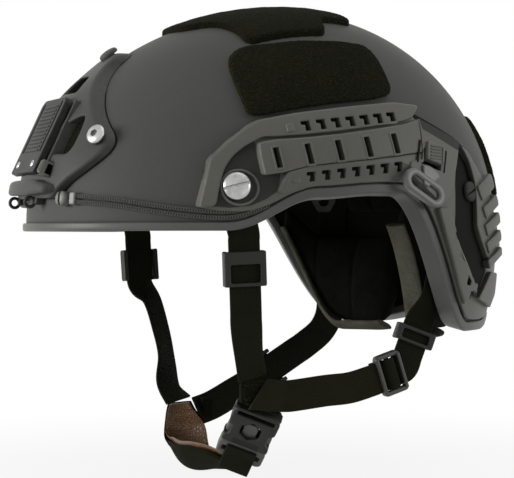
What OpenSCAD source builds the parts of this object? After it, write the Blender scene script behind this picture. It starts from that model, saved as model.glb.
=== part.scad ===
// High-cut combat helmet with side rails, a front shroud, a padded lining and a four-point chin harness.
// Frame: the origin is the centre of the brim plane, the front faces -Y, the wearer's left is +X, up is +Z.

/* [Shell] */
// Half width of the shell at the brim plane
shell_half_w = 108; // [102:1:112]
// Length of the shell ahead of the origin
shell_front = 149; // [142:1:154]
// Length of the shell behind the origin
shell_rear = 122; // [118:1:126]
// Height of the crown over the brim plane
crown_h = 119.5; // [114:0.5:124]
// How gently the wall draws in below the brim plane
skirt_depth = 170; // [160:5:190]
// Thickness of the shell
shell_t = 8; // [7:0.5:9]

/* [Rim] */
// Drop of the brim under the origin
brim_drop = 3; // [2:0.5:5]
// Rise of the rim over the ear
ear_rise = 17; // [14:1:19]
// Fall of the rim from the ear to the nape
nape_fall = 74; // [68:1:78]
// Rise of the rim at the middle of the nape
nape_lift = 9; // [6:1:12]
// Thickness of the rubber edging
trim_t = 1.3; // [1:0.1:1.6]
// Height of the edging up the shell
trim_leg = 3; // [2.5:0.25:3.5]

/* [Rails] */
// Height of the rail's main panel over the shell
rail_h = 8; // [7.5:0.5:9]
// Height of the rail's base plate over the shell
rail_base = 3; // [2.5:0.25:3.5]
// Length of the five accessory slots
slot_l = 10.5; // [8:0.5:12]
// Width of the five accessory slots
slot_w = 3; // [2.5:0.25:3.5]
// Spacing of the accessory slots
slot_pitch = 16.4; // [15:0.2:17]
// Spacing of the square notches
notch_pitch = 8.2; // [7.8:0.1:8.6]
// Side of a square notch
notch_w = 4.4; // [3.6:0.2:5]
// Diameter of the big slotted bolt's head
bolt_head_d = 14.5; // [13:0.5:16]
// Diameter of every bolt's shank
bolt_d = 6; // [5:0.5:6.5]
// Height of the rear block over the shell
block_h = 9.5; // [8.5:0.5:10.5]
// Travel of the lock tab
lock_travel = 1.5; // [1:0.25:2]
// Length of the strap loop's oval ring
loop_l = 28.5; // [26:0.5:30]
// Width of the strap loop's oval ring
loop_w = 13; // [12:0.5:14]

/* [Shroud] */
// Height of the shroud frame over the shell
shroud_h = 4; // [3:0.5:5]
// Width of the insert plate
plate_w = 44; // [40:1:46]
// Length of the insert plate
plate_l = 45; // [42:1:48]
// Thickness of the insert plate
plate_t = 3.4; // [3:0.2:3.8]
// Travel of the release button
button_travel = 2; // [1:0.5:2.5]
// Diameter of one bungee cord
bungee_d = 2.5; // [2:0.25:3]

/* [Lining] */
// Thickness of a pad
pad_t = 17; // [14:1:20]
// Thickness of the loop pile patches
patch_t = 2.4; // [1.6:0.2:3]

/* [Harness] */
// Width of the webbing
web_w = 17; // [16:0.5:19]
// Thickness of the webbing
web_t = 1.6; // [1.2:0.2:2]
// Height of the front slider's frame
slider_h = 18.5; // [16:0.5:20]
// Thickness of the chin cup's outer layer
cup_t = 2.4; // [2:0.2:3]
// Thickness of the chin cup's leather lining
cup_lining_t = 1.6; // [1.2:0.2:2]

/* [Hidden] */
$fn = 20;
round_fn = 14;
seat = 0.3;
slack = 0.4;
layer_sink = 1.7;
follow = 0.9;
trim_in = 0.8;
web_layer = shell_t + layer_sink + web_t / 2;
web_layer_low = shell_t + trim_in + trim_t + layer_sink + web_t / 2;
pad_back = web_layer + web_t / 2 + follow;
rear_sink = 2.4;
liner_back = web_layer_low + rear_sink + web_t / 2 + follow;
layer_nut = 1.5;
disc_face = shell_t + 1.5;
nut_deep = web_layer + web_t / 2 + 5 * seat + layer_nut;
bolt_slack = 0.2;

// Rim line, seen from the side
ear_front_y = -72;
ear_top_y = -26;
ear_mid_y = 8;
ear_tilt = 2.4;
ear_rear_y = 20;
tail_y = 74;
nape_y = 90;
nape_mid_y = 124;
rim_steps = 56;
wall_rows = 10;
inner_rows = 7;

// Small functions

function unit(v) = v / norm(v);
function ease(a, b, t) = let (u = min(1, max(0, (t - a) / (b - a)))) u * u * (3 - 2 * u);
function mix(a, b, t) = a + (b - a) * t;
function flip(p, side) = [p[0] * side, p[1], p[2]];
function reverse(list) = [for (i = [len(list) - 1:-1:0]) list[i]];
function level(p, g) = unit(cross([0, 0, 1], normal_at(p, g)));

// The smooth surface of the shell, and surfaces that lie g outside it

function len_at(y, g) = (y < 0 ? shell_front : shell_rear) + g;
function height_at(z, g) = (z < 0 ? skirt_depth : crown_h) + g;
function shell_point(tilt, turn, g) =
    let (ahead = cos(turn) > 0 ? shell_front : shell_rear, tall = tilt < 0 ? skirt_depth : crown_h)
    [(shell_half_w + g) * cos(tilt) * sin(turn), -(ahead + g) * cos(tilt) * cos(turn), (tall + g) * sin(tilt)];
function share(a, b) = sqrt(max(0.02, 1 - a * a - b * b));
function side_point(y, z, g) =
    [(shell_half_w + g) * share(y / len_at(y, g), z / height_at(z, g)), y, z];
function front_point(x, z, g) =
    [x, -(shell_front + g) * share(x / (shell_half_w + g), z / height_at(z, g)), z];
function rear_point(x, z, g) =
    [x, (shell_rear + g) * share(x / (shell_half_w + g), z / height_at(z, g)), z];
function top_point(x, y, g) =
    [x, y, (crown_h + g) * share(x / (shell_half_w + g), y / len_at(y, g))];
function wall_point(turn, z, g) = shell_point(asin(z / height_at(z, g)), turn, g);
function normal_at(p, g) =
    unit([p[0] / pow(shell_half_w + g, 2), p[1] / pow(len_at(p[1], g), 2), p[2] / pow(height_at(p[2], g), 2)]);

function rim_z(y) =
    -brim_drop + ear_rise * ease(ear_front_y, ear_top_y, y) + ear_tilt * ease(ear_top_y, ear_mid_y, y)
    - nape_fall * ease(ear_rear_y, tail_y, y) + nape_lift * ease(nape_y, nape_mid_y, y);
function rim_tilt(turn, low = -40, high = 30, tries = 16) =
    tries == 0 ? (low + high) / 2
    : let (mid = (low + high) / 2, p = shell_point(mid, turn, 0))
      p[2] > rim_z(p[1]) ? rim_tilt(turn, low, mid, tries - 1) : rim_tilt(turn, mid, high, tries - 1);
rim = [for (i = [0:rim_steps - 1]) shell_point(rim_tilt(i * 360 / rim_steps), i * 360 / rim_steps, 0)];
rim_out = [for (p = rim) normal_at(p, 0)];

// Generic solids

// A skin over rings of points, each with an even count, counter-clockwise about the way they run
module skin(rings, closed = false) {
    n = len(rings);
    k = len(rings[0]);
    half = k / 2;
    wall = [for (i = [0:closed ? n - 1 : n - 2]) for (j = [0:k - 1])
        let (a = i * k, b = ((i + 1) % n) * k, m = (j + 1) % k)
        each [[a + j, b + m, a + m], [a + j, b + j, b + m]]];
    caps = closed ? [] : [for (j = [0:half - 2]) let (m = k - 1 - j, e = (n - 1) * k)
        each [[j, j + 1, m - 1], [j, m - 1, m], [e + j + 1, e + j, e + m - 1], [e + m - 1, e + j, e + m]]];
    polyhedron(points = [for (ring = rings) each ring], faces = concat(wall, caps), convexity = 10);
}

// A curve through the points of a route
function curve_at(route, i, t) =
    let (n = len(route), p0 = route[max(0, i - 1)], p1 = route[i], p2 = route[min(n - 1, i + 1)],
        p3 = route[min(n - 1, i + 2)])
    0.5 * (2 * p1 + (p2 - p0) * t + (2 * p0 - 5 * p1 + 4 * p2 - p3) * t * t
        + (3 * p1 - p0 - 3 * p2 + p3) * t * t * t);
function curve(route, cuts) =
    [for (i = [0:len(route) - 2]) for (k = [0:cuts - 1]) curve_at(route, i, k / cuts),
        route[len(route) - 1]];
function heading(path, i) = unit(path[min(len(path) - 1, i + 1)] - path[max(0, i - 1)]);

// A flat band along a path; wide gives the direction of its width at each point
module band(path, wide, w, t) {
    skin([for (i = [0:len(path) - 1])
        let (along = heading(path, i), n = unit(cross(along, wide[i])), s = cross(n, along))
        [path[i] - s * w / 2 - n * t / 2, path[i] + s * w / 2 - n * t / 2,
            path[i] + s * w / 2 + n * t / 2, path[i] - s * w / 2 + n * t / 2]]);
}

// A round cord along a path that runs near the brim plane
module cord(path, d, sides = 8) {
    skin([for (i = [0:len(path) - 1])
        let (along = heading(path, i), n = unit(cross(along, [0, 0, 1])), s = cross(n, along))
        [for (j = [0:sides - 1]) path[i] + d / 2 * (cos(j * 360 / sides) * s + sin(j * 360 / sides) * n)]]);
}

// Puts its children at p, with their Z along n and their X level
module place(p, n) {
    t = unit(cross([0, 0, 1], n));
    u = cross(n, t);
    multmatrix([[t[0], u[0], n[0], p[0]], [t[1], u[1], n[1], p[1]], [t[2], u[2], n[2], p[2]], [0, 0, 0, 1]])
        children();
}
module on_side(y, z, g = 0) {
    p = side_point(y, z, 0);
    place(p, normal_at(p, 0)) translate([0, 0, g]) children();
}
module on_front(x, z, g = 0) {
    p = front_point(x, z, 0);
    place(p, normal_at(p, 0)) translate([0, 0, g]) children();
}
module mirrored(side) {
    mirror([side > 0 ? 0 : 1, 0, 0]) children();
}

// Blocks that follow the shell between the heights low and high, cut to the outline of their children
step_turn = 9;
function steps(a, b, below, above) =
    let (t0 = asin(a / (a < 0 ? below : above)), t1 = asin(b / (b < 0 ? below : above)))
    [for (i = [floor(t0 / step_turn):ceil(t1 / step_turn)]) let (t = i * step_turn) sin(t) * (t < 0 ? below : above)];
function steps_y(a, b) = steps(a, b, shell_front, shell_rear);
function steps_z(a, b) = steps(a, b, skirt_depth, crown_h);
function steps_x(a, b) = steps(a, b, shell_half_w, shell_half_w);
module side_part(low, high, y0, y1, z0, z1) {
    zs = steps_z(z0, z1);
    intersection() {
        rotate([90, 0, 90]) linear_extrude(height = shell_half_w + 40) children();
        skin([for (y = steps_y(y0, y1))
            concat([for (z = zs) side_point(y, z, low)], [for (z = reverse(zs)) side_point(y, z, high)])]);
    }
}
module front_part(low, high, x0, x1, z0, z1) {
    zs = steps_z(z0, z1);
    intersection() {
        rotate([90, 0, 0]) linear_extrude(height = shell_front + 40) children();
        skin([for (x = steps_x(x0, x1))
            concat([for (z = zs) front_point(x, z, low)], [for (z = reverse(zs)) front_point(x, z, high)])]);
    }
}
module rear_part(low, high, x0, x1, z0, z1) {
    zs = steps_z(z0, z1);
    intersection() {
        rotate([-90, 0, 0]) mirror([0, 1]) linear_extrude(height = shell_rear + 40) children();
        skin([for (x = steps_x(x0, x1))
            concat([for (z = reverse(zs)) rear_point(x, z, low)], [for (z = zs) rear_point(x, z, high)])]);
    }
}
module top_part(low, high, x0, x1, y0, y1) {
    ys = steps_y(y0, y1);
    intersection() {
        linear_extrude(height = crown_h + 40) children();
        skin([for (x = steps_x(x0, x1))
            concat([for (y = ys) top_point(x, y, low)], [for (y = reverse(ys)) top_point(x, y, high)])]);
    }
}
module rounded(r) {
    offset(r, $fn = 8) offset(-2 * r, $fn = 8) offset(r, $fn = 8) children();
}

// Shell and edging

bolt_y = -67.4;
bolt_z = 17.3;
rear_screw_y = 67;
rear_screw_z = 16;
top_bolt_z = 87.5;
side_bolt_x = 46;
side_bolt_z = 43;
hole_d = bolt_d + 2 * bolt_slack;

module bolt_places(low) {
    for (side = [-1, 1]) mirrored(side) {
        on_side(bolt_y, bolt_z, low) children();
        on_side(rear_screw_y, rear_screw_z, low) children();
    }
    on_front(0, top_bolt_z, low) children();
    for (side = [-1, 1]) mirrored(side) on_front(side_bolt_x, side_bolt_z, low) children();
}

function inner_start(i) =
    let (p = rim[i] - rim_out[i] * shell_t,
        tall = (p[2] < 0 ? skirt_depth : crown_h) - shell_t,
        long = (p[1] < 0 ? shell_front : shell_rear) - shell_t)
    [asin(p[2] / tall), atan2(p[0] / (shell_half_w - shell_t), -p[1] / long)];
function wall_up(tilt, turn, g, rows) =
    [for (j = [0:rows - 1]) shell_point(mix(tilt, 90, j / rows), turn, g)];

module shell() {
    n = rim_steps;
    m = wall_rows;
    k = inner_rows;
    outer = [for (i = [0:n - 1]) each wall_up(rim_tilt(i * 360 / n), i * 360 / n, 0, m)];
    inner = [for (i = [0:n - 1]) let (s = inner_start(i)) each wall_up(s[0], s[1], -shell_t, k)];
    tops = [[0, 0, crown_h], [0, 0, crown_h - shell_t]];
    in0 = n * m;
    top = n * (m + k);
    faces = [for (i = [0:n - 1])
        let (a = i * m, b = ((i + 1) % n) * m, c = in0 + i * k, d = in0 + ((i + 1) % n) * k) each concat(
        [for (j = [0:m - 2]) each [[a + j, a + j + 1, b + j + 1], [a + j, b + j + 1, b + j]]],
        [for (j = [0:k - 2]) each [[c + j, d + j + 1, c + j + 1], [c + j, d + j, d + j + 1]]],
        [[a + m - 1, top, b + m - 1], [c + k - 1, d + k - 1, top + 1], [a, b, d], [a, d, c]])];
    color("dimgray") difference() {
        polyhedron(points = concat(outer, inner, tops), faces = faces, convexity = 6);
        bolt_places(-shell_t - 5) cylinder(h = shell_t + 10, d = hole_d, $fn = round_fn);
    }
}

module edge_trim() {
    n = rim_steps;
    gap = 0.6;
    front_leg = 0.75;
    color("gray") skin([for (i = [0:n - 1])
        let (along = unit(rim[(i + 1) % n] - rim[(i + n - 1) % n]), out = rim_out[i],
            up = unit(cross(out, along)), deep = shell_t + trim_in,
            leg = trim_leg * mix(front_leg, 1, ease(ear_front_y, ear_top_y, rim[i][1])))
        [for (q = [[-deep - trim_t, -gap - trim_t], [-deep - trim_t, leg], [-deep, leg], [-deep, -gap],
            [gap, -gap], [gap, leg], [gap + trim_t, leg], [gap + trim_t, -gap - trim_t]])
            rim[i] + out * q[0] + up * q[1]]], closed = true);
}

// Loop pile patches

module crown_patch() {
    color([0.13, 0.13, 0.11]) top_part(follow, follow + patch_t, -58, 58, -74, 26)
        rounded(2.5) polygon([[-58, -46], [-44, -48], [-30, -54], [-18, -68], [-6, -71], [6, -71], [18, -68],
            [30, -54], [44, -48], [58, -46], [58, 0], [42, 3], [39, 24], [-39, 24], [-42, 3], [-58, 0]]);
}
module side_patch(side) {
    color([0.13, 0.13, 0.11]) mirrored(side) side_part(follow, follow + patch_t, -68, 30, 50, 104)
        rounded(2.5) polygon([[-51, 93.5], [-60, 86], [-61, 73.5], [-59, 61], [-58, 54.5], [-49, 55.5], [-35, 58.5],
            [-13, 62], [12, 65], [22, 67.5], [25, 72], [23, 90], [19, 96.5], [3, 98], [-20, 97.5]]);
}
module rear_patch() {
    color([0.13, 0.13, 0.11]) rear_part(follow, follow + patch_t, -48, 48, 12, 66)
        rounded(4) polygon([[-46, 16], [46, 16], [44, 44], [30, 62], [-30, 62], [-44, 44]]);
}

// Front shroud

plate_tilt = 25.4;
plate_z = 47;
plate_lift = 8;
plate_mid = front_point(0, plate_z, 0) + [0, -plate_lift, 0];
module at_plate() {
    translate(plate_mid) rotate([90 - plate_tilt, 0, 0]) children();
}
button_w = 8;
button_in = 15;
button_out = plate_w / 2 + 6.4;
button_low = -7.6;
button_top = -1.2;
shroud_edge = [[7, 93], [11.5, 90], [13.5, 84.5], [20, 76.8], [29, 67.8], [37.3, 59.2], [44.5, 52.2], [51.3, 46],
    [54, 41.5], [53.6, 36.5], [50.5, 32], [45, 26.5], [38.5, 21.5], [34.5, 17.5], [31, 12.5]];
module shroud_outline() {
    difference() {
        polygon(concat(shroud_edge, [for (p = reverse(shroud_edge)) [-p[0], p[1]]]));
        for (side = [-1, 1]) mirrored(side) {
            polygon([[21.5, 36.2], [21, 45], [23.5, 51.5], [29, 55], [34.5, 56.5], [36.5, 52], [37.5, 46], [37, 39],
                [34.5, 35.8]]);
        }
        polygon([[-13, 70], [-9, 79], [9, 79], [13, 70]]);
    }
}
module shroud() {
    boss_w = plate_w - 8;
    boss_l = plate_l - 6;
    color("slategray") difference() {
        union() {
            front_part(follow, follow + shroud_h, -60, 60, 12, 94) shroud_outline();
            intersection() {
                front_part(follow, follow + 2 * plate_lift, -24, 24, 22, 74) square([2 * plate_w, 400], center = true);
                at_plate() translate([-boss_w / 2, -boss_l / 2, -plate_t - seat - 2 * plate_lift])
                    cube([boss_w, boss_l, 2 * plate_lift]);
            }
        }
        bolt_places(-5) cylinder(h = 30, d = hole_d, $fn = round_fn);
        at_plate() translate([-plate_w / 2 - slack, -plate_l / 2 - slack, -plate_t - seat])
            cube([plate_w + 2 * slack, plate_l + 2 * slack, 2 * plate_lift]);
        at_plate() translate([button_in - button_travel - slack, -plate_l / 2 - slack, button_low - slack])
            cube([plate_w, button_w + 2 * slack, plate_lift]);
    }
}
bolt_head_t = 2.6;
module bolt(head_d, below, flange_t) {
    difference() {
        union() {
            cylinder(h = flange_t * 0.5, d = head_d);
            translate([0, 0, flange_t * 0.5]) cylinder(h = flange_t * 0.5, d1 = head_d, d2 = head_d * 0.72);
            translate([0, 0, -below]) cylinder(h = below + 0.1, d = bolt_d, $fn = round_fn);
        }
        translate([0, 0, flange_t]) cube([head_d * 0.8, head_d * 0.12, flange_t * 0.9], center = true);
    }
}
screw_head_d = 11;
module shroud_bolts() {
    seat_g = shroud_h + follow + 2 * seat;
    color("silver") {
        on_front(0, top_bolt_z, seat_g) bolt(screw_head_d, seat_g + disc_face + layer_nut, bolt_head_t);
        for (side = [-1, 1]) mirrored(side) on_front(side_bolt_x, side_bolt_z, seat_g)
            bolt(screw_head_d, seat_g + disc_face + layer_nut, bolt_head_t);
    }
}
groove_x = 15.6;
groove_deep = 1.6;
rib_pitch = 2.4;
screw_x = 13.6;
screw_drop = 17.5;
screw_w = 3.6;
screw_t = 0.9;
screw_sink = 1.4;
module shroud_plate() {
    color("dimgray") at_plate() difference() {
        translate([-plate_w / 2, -plate_l / 2, -plate_t]) cube([plate_w, plate_l, plate_t]);
        for (side = [-1, 1]) translate([side * groove_x - 1, -plate_l / 2 + 13, -groove_deep])
            cube([2, plate_l - 17, 2 * groove_deep]);
        for (y = [-plate_l / 2 + 13:rib_pitch:plate_l / 2 - 6]) translate([-groove_x + 3, y, -0.6])
            cube([2 * groove_x - 6, 1, 2]);
        for (side = [-1, 1]) translate([side * screw_x, -screw_drop, 0]) {
            translate([0, 0, -plate_t - 1]) cylinder(h = plate_t + 2, d = 2.6, $fn = round_fn);
            translate([0, 0, -screw_sink]) cylinder(h = 2 * screw_sink, d = screw_w + 2 * slack, $fn = round_fn);
        }
    }
}
module plate_screws() {
    color("white") at_plate() for (side = [-1, 1]) translate([side * screw_x, -screw_drop, seat - screw_sink]) {
        cylinder(h = screw_t, d = screw_w, $fn = round_fn);
        translate([0, 0, screw_sink - plate_t]) cylinder(h = plate_t - screw_sink + 0.1, d = 2.2, $fn = round_fn);
    }
}
module release_button() {
    head_in = plate_w / 2 + button_travel + slack;
    color("gray") at_plate() {
        translate([button_in, -plate_l / 2, button_low]) cube([button_out - button_in, button_w, -plate_t - slack - button_low]);
        translate([head_in, -plate_l / 2, button_low]) cube([button_out - head_in, button_w, button_top - button_low]);
    }
}
lip_z0 = 14.5;
lip_z1 = 22.5;
lip_out = 11;
module shroud_lip() {
    color("slategray") front_part(shroud_h + 2 * follow, lip_out, -34, 34, lip_z0 - 2, lip_z1 + 2)
        polygon([[-33, lip_z0 + 1], [-20, lip_z0], [20, lip_z0], [33, lip_z0 + 1], [33, lip_z1 - 3], [22, lip_z1],
            [-22, lip_z1], [-33, lip_z1 - 3]]);
}
hook_x = 15;
module lanyard_hooks() {
    color("gray") for (side = [-1, 1]) mirrored(side)
        translate(front_point(hook_x, lip_z0 - 3.9, shroud_h + 3.2)) rotate([0, 90, 0])
            rotate_extrude($fn = 10) translate([2.6, 0]) circle(d = 1.8, $fn = 6);
}

// Bungee cords, whole and held all the way; a route is in degrees of turn from the front and height
bungee_route = [[24, 11.9], [33, 10.4], [39, 8.8], [44, 7], [49.5, 5.3], [55, 3.9], [60, 3.2], [63.5, 4], [66.5, 6.4],
    [69.5, 9.8]];
bungee_gap = 0.5;
function bungee_path(lift) = [for (q = bungee_route) wall_point(q[0], q[1] + lift, seat + bungee_d / 2)];
module bungee(side) {
    color([0.2, 0.2, 0.18]) mirrored(side) for (k = [-1, 1])
        cord(bungee_path(k * (bungee_d + bungee_gap) / 2), bungee_d);
}
module cord_channel() {
    under = [for (i = [4:len(bungee_route) - 1]) bungee_route[i]];
    end = under[len(under) - 1] + [3, 3];
    band([for (q = concat(under, [end])) wall_point(q[0], q[1], seat + bungee_d / 2)],
        [for (i = [0:len(under)]) [0, 0, 1]], 2 * bungee_d + bungee_gap + 2 * slack, bungee_d + 2 * slack + seat);
}
toggle_d = 8;
toggle_turn = 19.3;
module bungee_toggle(side) {
    p = wall_point(toggle_turn, 11.4, seat);
    q = wall_point(bungee_route[0][0], bungee_route[0][1], seat);
    collar_l = 4;
    collar_w = 2 * bungee_d + bungee_gap + 1.2;
    color("lightgray") mirrored(side) {
        place(p, normal_at(p, 0)) difference() {
            cylinder(h = 5.5, d = toggle_d);
            translate([-0.9, -toggle_d / 2 - 1, 3]) cube([1.8, toggle_d + 2, 4]);
        }
        place(q, normal_at(q, 0)) translate([-collar_l - seat, -collar_w / 2, 0.1])
            cube([collar_l, collar_w, bungee_d + 1]);
    }
}

// Side rails

rail_gap = 1.2;
arm_gap = 2;
function rim_slope(y) = (rim_z(y + 1) - rim_z(y - 1)) / 2;
function over_rim(y, gap) = [y, rim_z(y) + (trim_leg + gap) * sqrt(1 + pow(rim_slope(y), 2))];
rail_edge = concat([[-87.8, 7.2], [-84.7, 18.3], [-80.9, 32.1], [-70.6, 41.5], [-59.8, 49.8], [-54.5, 52.5],
    [-34.5, 56.4], [-6.6, 60.2], [21.3, 63.4], [38, 62.2], [33, 56], [63, 43.5], [70, 39], [75.3, 32], [81.5, 24],
    [85.6, 17.6], [89.2, 10.6], [93, 2.4], [97.5, -6], [101, -14], [103, -24], [101, -40]],
    [for (y = [96, 88, 79, 71]) over_rim(y, rail_gap)], [for (y = [63, 57, 51, 45, 40, 35, 31]) over_rim(y, arm_gap)],
    [for (y = [22, 10, -5, -19, -31, -42, -52]) over_rim(y, rail_gap)], [[-59.4, 5.6], [-68.1, 4.4], [-77.5, 5.1]]);
border_in = [[-80.9, 8.6], [-79, 18], [-76.4, 28.5], [-70.8, 35.4], [-63.5, 41.5], [-54.5, 47], [-47.6, 49.6],
    [-6, 55.2], [24, 59.5], [31, 58.5], [31, 54], [24, 52], [-14, 45], [-56, 41], [-58, 23], [-50, 11], [-60, 6.5]];
slot_y0 = -49.1;
slot_z0 = 32.5;
slot_slope = 0.127;
notch_top_z = 48.3;
notch_low_z = 21.9;
notch_y0 = -40;
notch_slope = 0.115;
loop_y = 30;
loop_z = 16.7;
loop_turn = -31;
head_r = 12.3;
flange_r = 14.2;
loop_low = rail_base + 0.6;
loop_t = 3.2;
lock_y = 39.5;
lock_z = 34.5;
lock_w = 12.5;
lock_h = 11;
lock_low = rail_base + lock_travel + 0.6;
tab_lean = -17;

module bar_slot(w, l) {
    square([w, l], center = true);
}
module rail_main() {
    side_part(follow, rail_base, -90, 106, -56, 66) polygon(rail_edge);
}
module slots() {
    for (i = [0:4]) translate([slot_y0 + i * slot_pitch, slot_z0 + i * slot_pitch * slot_slope])
        rotate(8) bar_slot(slot_w, slot_l);
}
module notches(z0) {
    for (i = [0:7]) translate([notch_y0 + i * notch_pitch, z0 + i * notch_pitch * notch_slope])
        rotate(6) bar_slot(notch_w, notch_w);
}
module rail_steps() {
    side_part(rail_base - 0.2, rail_h, -60, 40, 20, 60) difference() {
        polygon([[-57.5, 40.8], [-57, 23.6], [33.5, 33.5], [32, 55.8]]);
        slots();
    }
    side_part(rail_base - 0.2, rail_h - 1.5, -90, 40, 2, 66) difference() {
        polygon([for (p = rail_edge) if (p[0] < 40 && p[1] > 3) p]);
        polygon(border_in);
        polygon([[-60, 2], [-56, 24], [40, 36], [60, 0]]);
    }
    side_part(rail_base - 0.2, rail_h - 2.2, -50, 32, 16, 60) difference() {
        union() {
            polygon([[-46, 44.5], [26, 53.8], [24, 59.6], [-47, 50.4]]);
            polygon([[-49, 17], [-20, 19.6], [20, 23.5], [28, 31.9], [-45, 24.2]]);
        }
        notches(notch_top_z);
        notches(notch_low_z);
    }
    side_part(rail_base - 0.2, rail_h + 0.5, 20, 72, 6, 58)
        polygon([[33.8, 55.2], [62, 43.2], [57, 30], [50.5, 14.5], [44, 8], [36, 15], [24, 25], [24, 31.5], [34, 33.5]]);
    side_part(rail_base - 0.2, rail_h - 1.5, 36, 96, -56, 14)
        polygon([[43, 7.5], [50.8, 8.1], [56.4, -5.2], [53.5, -7.5], [57.5, -9.2], [61, -16], [58, -18], [62.5, -20],
            [66.3, -24], [78, -42], [90, -27], [99, -28], [99, -40], [93, -48], [84, -52.5], [77, -52], [70, -48.5],
            [66.5, -45], [60.5, -35.4], [54, -20.3], [48, -6]]);
    side_part(rail_base - 0.2, block_h, 58, 104, -24, 46) difference() {
        polygon([[64, 41.5], [70, 38], [75, 31], [81, 23.5], [85, 17.2], [88.6, 10.4], [92.4, 2], [96.8, -6.4],
            [99.5, -13], [98, -21], [86, -21], [82.8, -18.4], [76, -8.6], [72.5, -2], [72.5, 20], [69, 33]]);
        for (i = [0:3]) translate([85 + i * 4, 14.5 - i * 9.6]) rotate(32) bar_slot(40, 2.4);
    }
}
module lock_pocket(extra) {
    rotate(tab_lean) translate([-lock_w / 2 - extra, -lock_h / 2 - extra, 0])
        cube([lock_w + 2 * extra, lock_h + 2 * extra, 30]);
}
module rail(side) {
    color("darkgray") mirrored(side) difference() {
        union() {
            rail_main();
            rail_steps();
        }
        on_side(lock_y, lock_z, rail_base + 0.3) lock_pocket(slack);
        on_side(loop_y, loop_z, rail_base + 0.3) {
            cylinder(h = 30, r = head_r + slack);
            cylinder(h = 1.9, r = flange_r + slack);
        }
        on_side(loop_y, loop_z, rail_h - 2 + 0.6) rotate(loop_turn) hull() for (x = [-1, 1]) translate([x * 10, 0, 0])
            cylinder(h = 20, r = 9.5);
        on_side(bolt_y, bolt_z, rail_base + 0.2) cylinder(h = 30, d = bolt_head_d + 1.5);
        on_side(rear_screw_y, rear_screw_z, rail_base + 0.2) cylinder(h = 30, d = screw_head_d + 1);
        bolt_places(-5) cylinder(h = 30, d = hole_d, $fn = round_fn);
        cord_channel();
    }
}
module rail_bolts() {
    low = rail_base + 2 * seat + 0.2;
    color("silver") for (side = [-1, 1]) mirrored(side) on_side(bolt_y, bolt_z, low)
        bolt(bolt_head_d, low + nut_deep, 3.4);
}
module rail_rear_screws() {
    low = rail_base + 2 * seat + 0.2;
    color("silver") for (side = [-1, 1]) mirrored(side) on_side(rear_screw_y, rear_screw_z, low)
        bolt(screw_head_d, low + nut_deep, bolt_head_t);
}
nut_d = 15;
module nut() {
    difference() {
        cylinder(h = layer_nut, d = nut_d, $fn = 6);
        translate([0, 0, -1]) cylinder(h = layer_nut + 2, d = hole_d, $fn = round_fn);
    }
}
module inner_nuts() {
    color("silver") {
        for (side = [-1, 1]) mirrored(side) {
            on_side(bolt_y, bolt_z, -nut_deep) nut();
            on_side(rear_screw_y, rear_screw_z, -nut_deep) nut();
            on_front(side_bolt_x, side_bolt_z, -disc_face - layer_nut) nut();
        }
        on_front(0, top_bolt_z, -disc_face - layer_nut) nut();
    }
}
module rail_lock(side) {
    color("lightgray") mirrored(side) on_side(lock_y, lock_z, lock_low) rotate(tab_lean) difference() {
        translate([-lock_w / 2, -lock_h / 2, 0]) cube([lock_w, lock_h, rail_h + 0.8 - lock_low]);
        for (i = [-1, 0, 1]) translate([-lock_w / 2 + 2.5, i * 2.6 - 0.5, rail_h + 0.2 - lock_low])
            cube([lock_w - 5, 1, 4]);
    }
}
module stadium(l, w) {
    for (x = [-1, 1]) translate([x * (l - w) / 2, 0]) circle(d = w);
    square([l - w, w], center = true);
}
loop_slot_l = 20;
loop_slot_w = 5.6;
module strap_loop(side) {
    ring_low = rail_h - loop_low - 1.2;
    color("silver") mirrored(side) on_side(loop_y, loop_z, loop_low) rotate(loop_turn) difference() {
        union() {
            translate([0, 0, ring_low]) linear_extrude(height = loop_t) stadium(loop_l, loop_w);
            linear_extrude(height = ring_low + loop_t) intersection() {
                circle(r = head_r);
                polygon([[-2, 0], [-9.5, 16], [9.5, 16], [2, 0]]);
            }
            linear_extrude(height = 1.3) intersection() {
                circle(r = flange_r);
                polygon([[-2, 0], [-7, 16], [7, 16], [2, 0]]);
            }
        }
        translate([0, 0, -1]) linear_extrude(height = 20) stadium(loop_slot_l, loop_slot_w);
    }
}

// Lining

pad_rows = 5;
pad_cols = 8;
function bulge(u, v) =
    let (a = 1 - pow(abs(2 * u - 1), 4), b = 1 - pow(abs(2 * v - 1), 4)) 0.45 + 0.55 * sqrt(max(0, a * b));
function seam(u, count) = 1 - 0.14 * pow(abs(cos(180 * u * count)), 12);

// A cushion over part of the wall; lows are heights at its ends, or how far it hangs below the rim
module pad(turn0, turn1, lows, highs, seams, back = pad_back) {
    skin([for (i = [0:pad_cols]) let (u = i / pad_cols, turn = mix(turn0, turn1, u),
        low = is_list(lows) ? mix(lows[0], lows[1], u) : rim_z(-(shell_rear - back) * cos(turn)) - lows,
        high = is_list(lows) ? mix(highs[0], highs[1], u) : mix(highs[0], highs[1], ease(0, 0.35, u)))
        concat([for (j = [0:pad_rows]) let (v = j / pad_rows)
                wall_point(turn, mix(low, high, v), -back - pad_t * bulge(u, v) * seam(u, seams))],
            [for (j = [pad_rows:-1:0]) wall_point(turn, mix(low, high, j / pad_rows), -back)])]);
}
pad_tone = [0.1, 0.1, 0.09];
module front_pad() {
    color(pad_tone) pad(-36, 36, [8, 8], [40, 40], 4);
}
module temple_pad(side) {
    color(pad_tone) mirrored(side) pad(76, 104, [24, 26], [68, 72], 2);
}
module side_pad(side) {
    color(pad_tone) mirrored(side) pad(132, 158, [4, 4], [60, 60], 2);
}
liner_hang = 5;
module rear_liner(side) {
    color(pad_tone) mirrored(side) pad(108, 157, liner_hang, [12, -4], 3, liner_back);
}
module nape_pad() {
    color(pad_tone) pad(160, 200, [rim_z(shell_rear - pad_back) + 1, rim_z(shell_rear - pad_back) + 1], [-6, -6], 3);
}
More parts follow.
